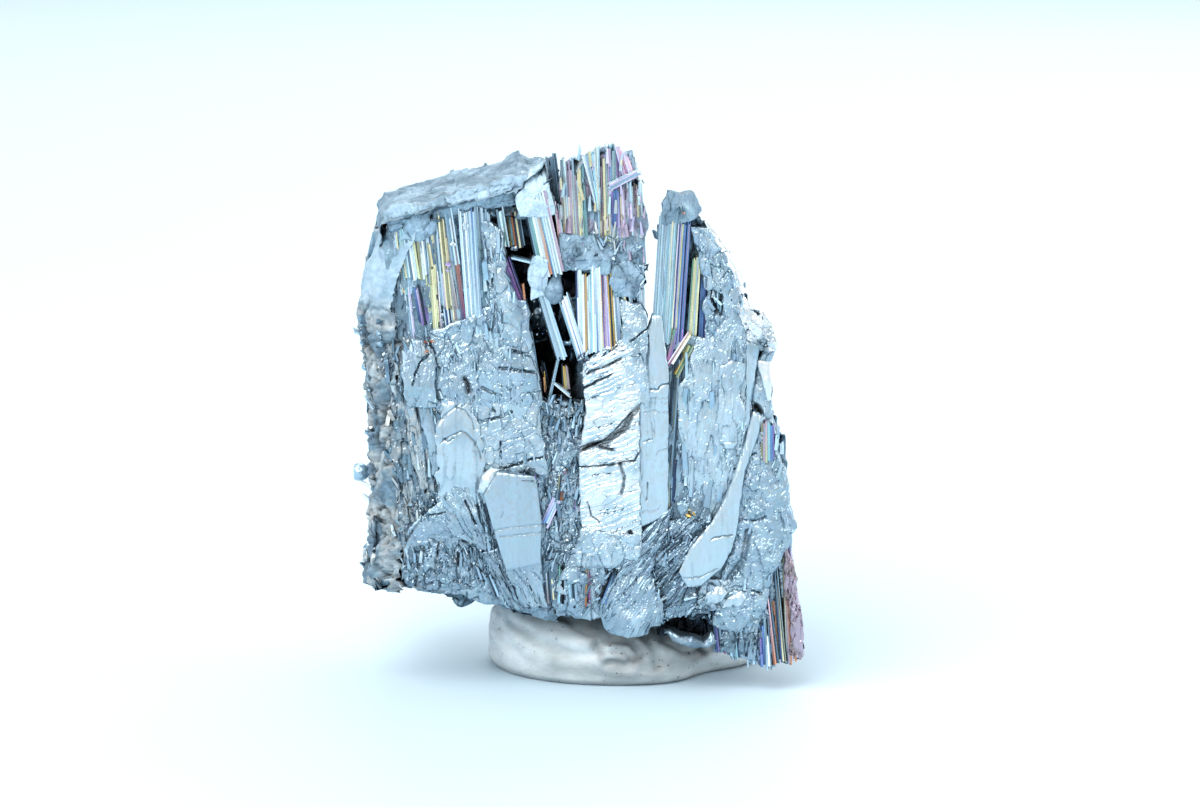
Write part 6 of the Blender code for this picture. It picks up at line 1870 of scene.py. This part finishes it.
@dataclass(frozen=True)
class SlabTop:
    """The granular upper face of the slab that caps the left half.

    It runs from the lip in front to the ridge behind, and a skirt of some steps falls from it. size is
    about its breadth and depth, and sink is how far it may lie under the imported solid, which counts
    as part of the slab above its lowest height. swell and ragged are how wavy it and its skirt are.
    """

    lip: Edge = ((-15.91, -4.9, 34.78), (-14.51, -5.2, 35.34), (-11.6, -5.2, 36.22),
                 (-7.25, -5.2, 36.8), (-3.77, -5.0, 38.01))
    ridge: Edge = ((-16.8, 5.4, 34.84), (-16.34, 5.4, 35.61), (-13.62, 5.6, 36.26), (-10.58, 5.6, 37.18),
                   (-7.56, 5.6, 37.86), (-6.12, 5.6, 38.62), (-5.36, 5.6, 38.02), (-3.78, 5.6, 38.24))
    size: Point = (14.0, 11.0)
    step: float = 0.12
    sink: float = 0.3
    lowest: float = 30.0
    swell: float = 0.22
    skirt: int = 16
    fall: float = 1.7
    ragged: float = 0.6
    lumps: Facets = Facets((0.9, 0.9, 0.9), 0.1, 0.22, 0.06)
    grains: Facets = Facets((0.26, 0.26, 0.26), 0.03, 0.14, 0.05)
    gain: float = 0.86

    def build(self, material: Material) -> Piece:
        """Makes the piece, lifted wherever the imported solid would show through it.

        Args:
            material: its finish.

        Returns:
            The piece.
        """
        across, deep = (np.linspace(0.0, 1.0, math.ceil(side / self.step)) for side in self.size)
        top = blend(deep[:, None, None], resample(self.lip, across), resample(self.ridge, across))
        tree = cluster_tree()
        solid = np.array([[drop(tree, x, y)[0] for x, y in row] for row in top[..., :2]])
        top[..., 2] = np.maximum(top[..., 2], np.where(solid > self.lowest, solid - self.sink, 0.0))
        places = np.pad(top, ((0, self.skirt), (self.skirt, self.skirt), (0, 0)), mode="edge")
        row, column = np.indices(places.shape[:2])
        past = np.maximum(row - len(top), np.abs(column - 0.5 * places.shape[1]) - 0.5 * top.shape[1])
        past = np.clip(past / self.skirt, 0.0, 1.0)
        ragged = 1.0 + self.ragged * NOISE.layers(places, 1.2)
        lump, lump_tone = self.lumps.read(places, False)
        grain, grain_tone = self.grains.read(places, False)
        relief = lump + grain + self.swell * NOISE.layers(places, 2.6, 4)
        places[..., 2] += relief - self.fall * past * ragged
        places[..., :2] += (past > 0.0)[..., None] * 0.3 * NOISE.layers(places + 20.0, 0.8, 3)[..., None]
        tints = blend(smooth_step(-0.4, 0.5, NOISE.layers(places + 9.0, 1.6))[..., None], Tint.SLATE, Tint.STEEL)
        draft = Draft()
        draft.add_grid(places, self.gain * tints * (lump_tone * grain_tone)[..., None], True)
        return draft.piece("slab_top", material)


@dataclass(frozen=True)
class LeftFlank:
    """The coral-like skin down the left flank, which turns in towards the front.

    It runs over heights and from front to back, turn is how far it curls in over the foremost share
    of it, and between the two soft heights its relief fades and its colour evens out. Where its relief
    sinks lowest its colour is darkened, painted shade in the hollows.
    """

    edge: Line = LEFT_EDGE
    heights: Point = (7.4, 34.2)
    soft: Point = (26.5, 30.5)
    front: float = -5.6
    back: float = 6.9
    deepest: float = 7.6
    turn: float = 2.6
    turned: float = 0.2
    inset: float = 0.55
    swell: float = 0.3
    pit_shade: float = 0.75
    calm: float = 0.7
    step: float = 0.12
    stance: Triple = (-0.95, -0.25, 0.05)
    ridges: Facets = Facets((1.0, 0.8, 1.9), 0.3, 0.22, 0.12)
    lumps: Facets = Facets((0.34, 0.34, 0.4), 0.16, 0.34, 0.16)

    def build(self, material: Material) -> Piece:
        """Makes the piece.

        Args:
            material: its finish.

        Returns:
            The piece.
        """
        low, high = self.heights
        z = np.linspace(low, high, math.ceil((high - low) / self.step))[:, None]
        share = np.linspace(1.0, 0.0, math.ceil((self.back - self.front + 2.0) / self.step))[None, :]
        curl = self.turn * np.clip(1.0 - share / self.turned, 0.0, 1.0) ** 1.6
        x = np.interp(z, *zip(*self.edge)) + self.inset + curl + 0.3 * share
        y = self.front + (self.back - self.front) * share + (z - 20.0) * math.tan(FACE_LEAN)
        places = np.stack(np.broadcast_arrays(x, np.minimum(y, self.deepest), z), axis=-1).copy()
        ridge, ridge_tone = self.ridges.read(places + NOISE.at(places, 2.5)[..., None] * 0.5, False)
        lump, lump_tone = self.lumps.read(places, False)
        swell = self.swell * NOISE.layers(places, 2.2, 4)
        mix = smooth_step(-0.3, 0.4, NOISE.layers(places + 9.0, 1.3))[..., None]
        upper = smooth_step(*self.soft, places[..., 2])
        soft = blend(mix, Tint.STEEL, Tint.SILVER) * (0.72 + 0.14 * NOISE.layers(places, 0.5, 3)[..., None])
        tints = blend(upper[..., None], blend(mix, Tint.SLATE, 0.85 * Tint.BEIGE.linear()), soft)
        rugged = 1.0 - self.calm * upper
        relief = rugged * (ridge + lump + swell) + 0.05 * upper * NOISE.layers(places, 0.35, 3)
        # Painted shade: the deepest hollows of the relief are darkened.
        shaded_pits = smooth_step(-0.12, -0.45, relief)[..., None]
        tone = rugged * ridge_tone * lump_tone + upper
        draft = Draft()
        tints = tints * tone[..., None] * (1.0 - self.pit_shade * shaded_pits)
        draft.add_grid(places + np.array(self.stance) * relief[..., None], tints, True)
        return draft.piece("left_flank", material)


@dataclass(frozen=True)
class LeftDruse:
    """Needles, beads and chips that crust the left flank, and the large bead with its needles.

    They lie over heights and from front over a depth. rods, beads and chips are how many there are,
    and the sizes after them are the ranges of their lengths and widths.
    """

    edge: Line = LEFT_EDGE
    heights: Point = (8.4, 28.0)
    front: float = -5.6
    depth: float = 11.6
    rods: int = 60
    rod_lengths: Point = (0.5, 1.2)
    rod_widths: Point = (0.14, 0.42)
    beads: int = 26
    bead_sizes: Point = (0.14, 0.34)
    chips: int = 320
    chip_sizes: Point = (0.12, 0.42)
    flatness: float = 0.7
    hues: str = "beige steel beige slate steel pale beige slate"
    large_bead: Triple = (-18.39, 4.2, 14.14)
    large_size: float = 0.7
    needle_width: Point = (0.26, 0.2)
    needles: tuple[Edge, ...] = (((-18.34, 3.4, 13.54), (-16.53, -1.0, 13.74)),
                                 ((-18.13, 2.4, 12.76), (-16.58, -1.5, 12.7)),
                                 ((-17.62, 2.0, 14.81), (-16.45, -2.0, 14.52)))
    dice: Dice = field(default_factory=lambda: Dice(SEED + 2))

    def spot(self) -> tuple[Array, float]:
        """Picks a place.

        Returns:
            A place on the flank, and how far back it is from 0 to 1.
        """
        z = self.dice.chance.uniform(*self.heights)
        back = self.dice.chance.random()
        x = edge_x(self.edge, z) + 1.4 - 0.9 * math.sin(math.pi * min(1.0, back + 0.1))
        return np.array([x + (1.2 if back < 0.15 else 0.0), self.front + self.depth * back, z]), back

    def lay_needles(self, draft: Draft) -> None:
        """Adds short rods that bristle outward and up, and the placed needles.

        Args:
            draft: the piece they go to.
        """
        chance = self.dice.chance
        palette = read_palette(self.hues)
        for _ in range(self.rods):
            place, back = self.spot()
            aim = unit(np.array([chance.gauss(-0.4, 0.3), chance.gauss(-0.3 + 0.5 * back, 0.35),
                                 chance.gauss(0.8, 0.5)]))
            length = chance.uniform(*self.rod_lengths)
            out = unit(np.cross(aim, np.array([0.0, chance.uniform(-1.0, 1.0), 1.0])))
            width = chance.uniform(*self.rod_widths)
            tint = chance.choice(palette) * math.exp(chance.gauss(0.0, 0.2))
            Lath(place - aim * 0.5, place + aim * length * 0.6, out, (width, width * 0.7), width * 0.8, (tint, tint),
                 chance.uniform(-0.8, 0.8)).lay(draft, chance)
        white = (Tint.WHITE.linear(),) * 2
        for foot, head in self.needles:
            Lath(np.array(foot), np.array(head), FRONT, self.needle_width, 0.2, white, 0.5).lay(draft, chance)

    def build(self, material: Material) -> Piece:
        """Makes the piece.

        Args:
            material: its finish.

        Returns:
            The piece.
        """
        draft = Draft(self.dice)
        chance = self.dice.chance
        palette = read_palette(self.hues)
        self.lay_needles(draft)
        chips = [(self.spot()[0], chance.choice(palette)) for _ in range(self.chips)]
        centres, tints = (np.array(column) for column in zip(*chips))
        scatter_chips(draft, centres, self.dice.generator.uniform(*self.chip_sizes, self.chips), tints, self.flatness)
        for _ in range(self.beads):
            bead(draft, self.spot()[0], chance.uniform(*self.bead_sizes), chance.choice(palette))
        bead(draft, np.array(self.large_bead), self.large_size, Tint.SILVER.linear(), 12, 0.3)
        return draft.piece("left_druse", material)


@dataclass(frozen=True)
class BrokenTops:
    """Flat chips lying over the slab, the crest and the steps behind the tower.

    Each field is an outline of (x, y) and how many chips lie in it. They lie only where the core is
    about level, sunk a little, and sizes are the least length and how much more it may be.
    """

    fields: tuple[tuple[Line, int], ...] = (
        (((-15.6, -4.8), (-5.6, -5.0), (-5.0, 0.0), (-4.6, 4.0), (-15.8, 4.0)), 90),
        (((7.6, -3.8), (13.0, -3.0), (13.2, 5.2), (7.0, 5.4)), 500),
        (((-4.0, -3.6), (3.4, -3.6), (3.0, 4.6), (-3.6, 4.6)), 400),
    )
    hues: str = "steel pale steel slate steel steel beige slate"
    flatness: float = 0.35
    level: float = 0.25
    sink: float = 0.05
    sizes: Point = (0.1, 0.4)

    def build(self, material: Material) -> Piece:
        """Makes the piece, each chip dropped onto the core under it.

        Args:
            material: its finish.

        Returns:
            The piece.
        """
        draft = Draft(Dice(SEED + 3))
        generator = draft.dice.generator
        core = cluster_tree()
        palette = np.array(read_palette(self.hues))
        for outline, count in self.fields:
            dropped = [(x, y, *drop(core, x, y)) for x, y in spots_in(outline, count, generator)]
            centres = np.array([(x, y, height - self.sink) for x, y, height, up in dropped if up > self.level])
            sizes = self.sizes[0] + self.sizes[1] * generator.random(len(centres)) ** 2
            tints = palette[generator.integers(0, len(palette), len(centres))]
            tints = tints * np.exp(generator.normal(0.0, 0.2, (len(centres), 1)))
            scatter_chips(draft, centres, sizes, tints, self.flatness)
        return draft.piece("broken_tops", material)


@dataclass(frozen=True)
class PuttyLump:
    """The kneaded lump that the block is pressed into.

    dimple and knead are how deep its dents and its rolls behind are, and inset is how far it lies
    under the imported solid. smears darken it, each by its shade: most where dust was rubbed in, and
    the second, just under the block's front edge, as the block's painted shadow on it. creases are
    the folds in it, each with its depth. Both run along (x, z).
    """

    voxel: float = 0.2
    dimple: float = 0.1
    knead: float = 0.1
    inset: float = 0.06
    smears: tuple[Crack, ...] = (
        Crack(((6.67, 3.01), (7.41, 3.54), (8.0, 2.71), (7.64, 1.8)), 0.55, 0.0, 0.75),
        # The block's painted shadow on the putty, just under its front edge.
        Crack(((-3.26, 4.98), (0.0, 4.07), (3.7, 3.62), (4.81, 4.22)), 0.6, 0.0, 0.6),
        Crack(((-0.44, 3.16), (0.3, 2.1), (2.97, 2.1)), 0.35, 0.0, 0.4),
        Crack(((-2.97, 1.34), (1.48, 1.04), (6.67, 1.64)), 0.8, 0.0, 0.35),
        Crack(((1.85, 2.78), (5.93, 2.56), (10.38, 2.56)), 1.2, 0.0, 0.22),
        Crack(((-7.55, 5.74), (-5.92, 4.68), (-3.85, 4.83)), 0.5, 0.0, 0.3),
    )
    creases: tuple[Crack, ...] = (
        Crack(((-6.81, 4.22), (-4.45, 3.01), (-1.78, 2.4), (0.0, 2.78)), 0.35, 0.3),
        Crack(((-0.15, 3.31), (0.89, 3.69), (2.37, 3.31), (2.96, 2.56), (2.08, 1.8), (0.59, 1.95)), 0.28, 0.42),
        Crack(((0.89, 2.78), (1.63, 2.93), (2.22, 2.4)), 0.2, 0.2),
        Crack(((2.96, 3.92), (4.08, 2.78), (4.3, 1.49)), 0.3, 0.24),
        Crack(((4.59, 3.47), (6.23, 2.4), (8.6, 2.1)), 0.3, 0.36),
        Crack(((-7.84, 5.05), (-7.41, 3.16), (-5.93, 1.49)), 0.4, 0.15),
        Crack(((-2.96, 5.05), (-0.74, 3.92), (0.74, 3.92)), 0.3, 0.2),
        Crack(((7.41, 3.01), (7.79, 1.8)), 0.2, 0.2),
    )

    def build(self, material: Material) -> Piece:
        """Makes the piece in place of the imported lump, its underside left flat.

        Args:
            material: its finish.

        Returns:
            The piece.
        """
        draft = Draft()
        corners, normals, faces = even_skin("putty_lump", self.voxel)
        x, y, z = corners.T
        relief = self.dimple * NOISE.layers(corners, 2.4, 4) + 0.02 * NOISE.layers(corners, 0.4, 2) - self.inset
        front = smooth_step(0.5, -1.5, y)
        for crease in self.creases:
            gap = distance_to(crease.line, x, z + 0.15 * NOISE.at(corners, 0.9)) / crease.width
            cut = np.exp(-(gap**2)) * front
            swell = np.exp(-(((gap - 2.2) / 1.4) ** 2)) * front
            relief = relief - crease.depth * cut + 0.3 * crease.depth * swell
        knead = self.knead * np.sin(2.2 * x + 1.6 * z + 2.0 * NOISE.at(corners, 3.5)) * smooth_step(-1.0, 2.0, y)
        relief = (relief + knead) * smooth_step(0.05, 0.7, z)
        clean_unshaded = np.ones(len(corners))
        # Darkens the front for rubbed-in dust and for the block's painted shadow.
        for smear in self.smears:
            gap = distance_to(smear.line, x, z) + 0.3 * NOISE.layers(corners, 0.7, 3)
            clean_unshaded = clean_unshaded * (1.0 - smear.shade * np.exp(-((np.maximum(gap, 0.0) / smear.width) ** 2)) * (y < 0.0))
        draft.add(corners + normals * relief[:, None], faces, np.repeat(clean_unshaded[:, None], 3, axis=1), True)
        putty = draft.piece("kneaded_putty", material, PUTTY_SLOT)
        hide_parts("putty_lump")
        return putty


@dataclass(frozen=True)
class Lamp:
    """A soft rectangular light: where it hangs, what it is aimed at, its sides and its power."""

    name: str
    place: Triple
    aim: Triple
    size: Point
    power: float
    colour: Triple = (1.0, 0.985, 0.975)

    def hang(self) -> Piece:
        """Adds the light.

        Returns:
            The light.
        """
        light = bpy.data.lights.new(self.name, "AREA")
        light.shape = "RECTANGLE"
        light.size, light.size_y = self.size
        light.energy = self.power
        light.color = self.colour
        obj = bpy.data.objects.new(self.name, light)
        obj.location = self.place
        obj.rotation_euler = (Vector(self.aim) - Vector(self.place)).to_track_quat("-Z", "Y").to_euler()
        bpy.context.scene.collection.objects.link(obj)
        return obj


@dataclass(frozen=True)
class Studio:
    """A pale floor under soft light, and the camera, in metres."""

    camera: Triple = (0.0, -0.24454, 0.07238)
    camera_drop: float = 12.0
    lens: float = 100.0
    sensor: float = 36.0
    clip: Point = (0.01, 20.0)
    floor_radius: float = 3.0
    floor_corners: int = 96
    floor_colour: tuple[float, float, float, float] = (0.5, 0.64, 0.73, 1.0)
    sky: Triple = (1.0, 0.99, 0.985)
    sky_strength: float = 0.9
    lamps: tuple[Lamp, ...] = (
        Lamp("key_light", (-0.2, -0.24, 0.42), (0.0, 0.0, 0.02), (0.45, 0.4), 3.0),
        Lamp("back_light", (0.15, 0.45, 0.4), (0.0, 0.0, 0.02), (0.6, 0.4), 2.2),
        Lamp("side_light", (0.45, 0.05, 0.16), (0.0, 0.0, 0.02), (0.3, 0.3), 1.0),
    )

    def floor(self) -> Piece:
        """Adds a wide pale disc at height 0.

        Returns:
            The disc.
        """
        graph = Graph("studio_floor")
        grain = graph.noise(graph.place_mm((40.0, 40.0, 40.0)), 1.0, 3.0)
        tone = graph.between(grain, 0.0, 1.0, 0.99, 1.01)
        graph.set(Base_Color=graph.scaled(graph.node("ShaderNodeRGB"), tone), Roughness=0.7, Specular_IOR_Level=0.25)
        graph.tree.nodes["RGB"].outputs[0].default_value = self.floor_colour
        angles = [math.tau * i / self.floor_corners for i in range(self.floor_corners)]
        ring = [(self.floor_radius * math.cos(angle), self.floor_radius * math.sin(angle), 0.0) for angle in angles]
        mesh = bpy.data.meshes.new("studio_floor")
        mesh.from_pydata(ring, [], [tuple(range(self.floor_corners))])
        mesh.materials.append(graph.material)
        obj = bpy.data.objects.new("studio_floor", mesh)
        bpy.context.scene.collection.objects.link(obj)
        return obj

    def build(self) -> Piece:
        """Lights the scene and aims the camera.

        Returns:
            The camera.
        """
        self.floor()
        for lamp in self.lamps:
            lamp.hang()
        world = bpy.data.worlds.new("studio")
        world.use_nodes = True
        sky = world.node_tree.nodes["Background"]
        sky.inputs["Color"].default_value = (*self.sky, 1.0)
        sky.inputs["Strength"].default_value = self.sky_strength
        bpy.context.scene.world = world
        data = bpy.data.cameras.new("camera")
        data.lens = self.lens
        data.sensor_width = self.sensor
        data.clip_start, data.clip_end = self.clip
        camera = bpy.data.objects.new("camera", data)
        camera.location = self.camera
        camera.rotation_euler = (math.radians(90.0 - self.camera_drop), 0.0, 0.0)
        bpy.context.scene.collection.objects.link(camera)
        bpy.context.scene.camera = camera
        bpy.context.scene.view_settings.view_transform = "Standard"
        return camera


def report(piece: Piece) -> None:
    """Logs one finished piece."""
    log.info("%s: %d faces", piece.name, len(piece.data.polygons))


def main() -> None:
    """Builds every piece from the core outwards, then the studio."""
    logging.basicConfig(level=logging.INFO, format="%(name)s: %(message)s")
    finishes = {finish: finish.value.build() for finish in Finish}
    report(RoughCore().build(finishes[Finish.CORE]))
    dice = Dice(SEED)
    for group in GROUPS:
        report(group.build(finishes[group.finish], dice))
    sides = HiddenSides()
    report(sides.back(finishes[Finish.COLUMNS]))
    report(LeftFlank().build(finishes[Finish.CRUST]))
    report(SlabTop().build(finishes[Finish.CRUST]))
    report(sides.flank(finishes[Finish.COLUMNS]))
    report(LeftDruse().build(finishes[Finish.RUBBLE]))
    report(BrokenTops().build(finishes[Finish.RUBBLE]))
    report(PuttyLump().build(finishes[Finish.PUTTY]))
    Studio().build()


if __name__ == "__main__":
    main()
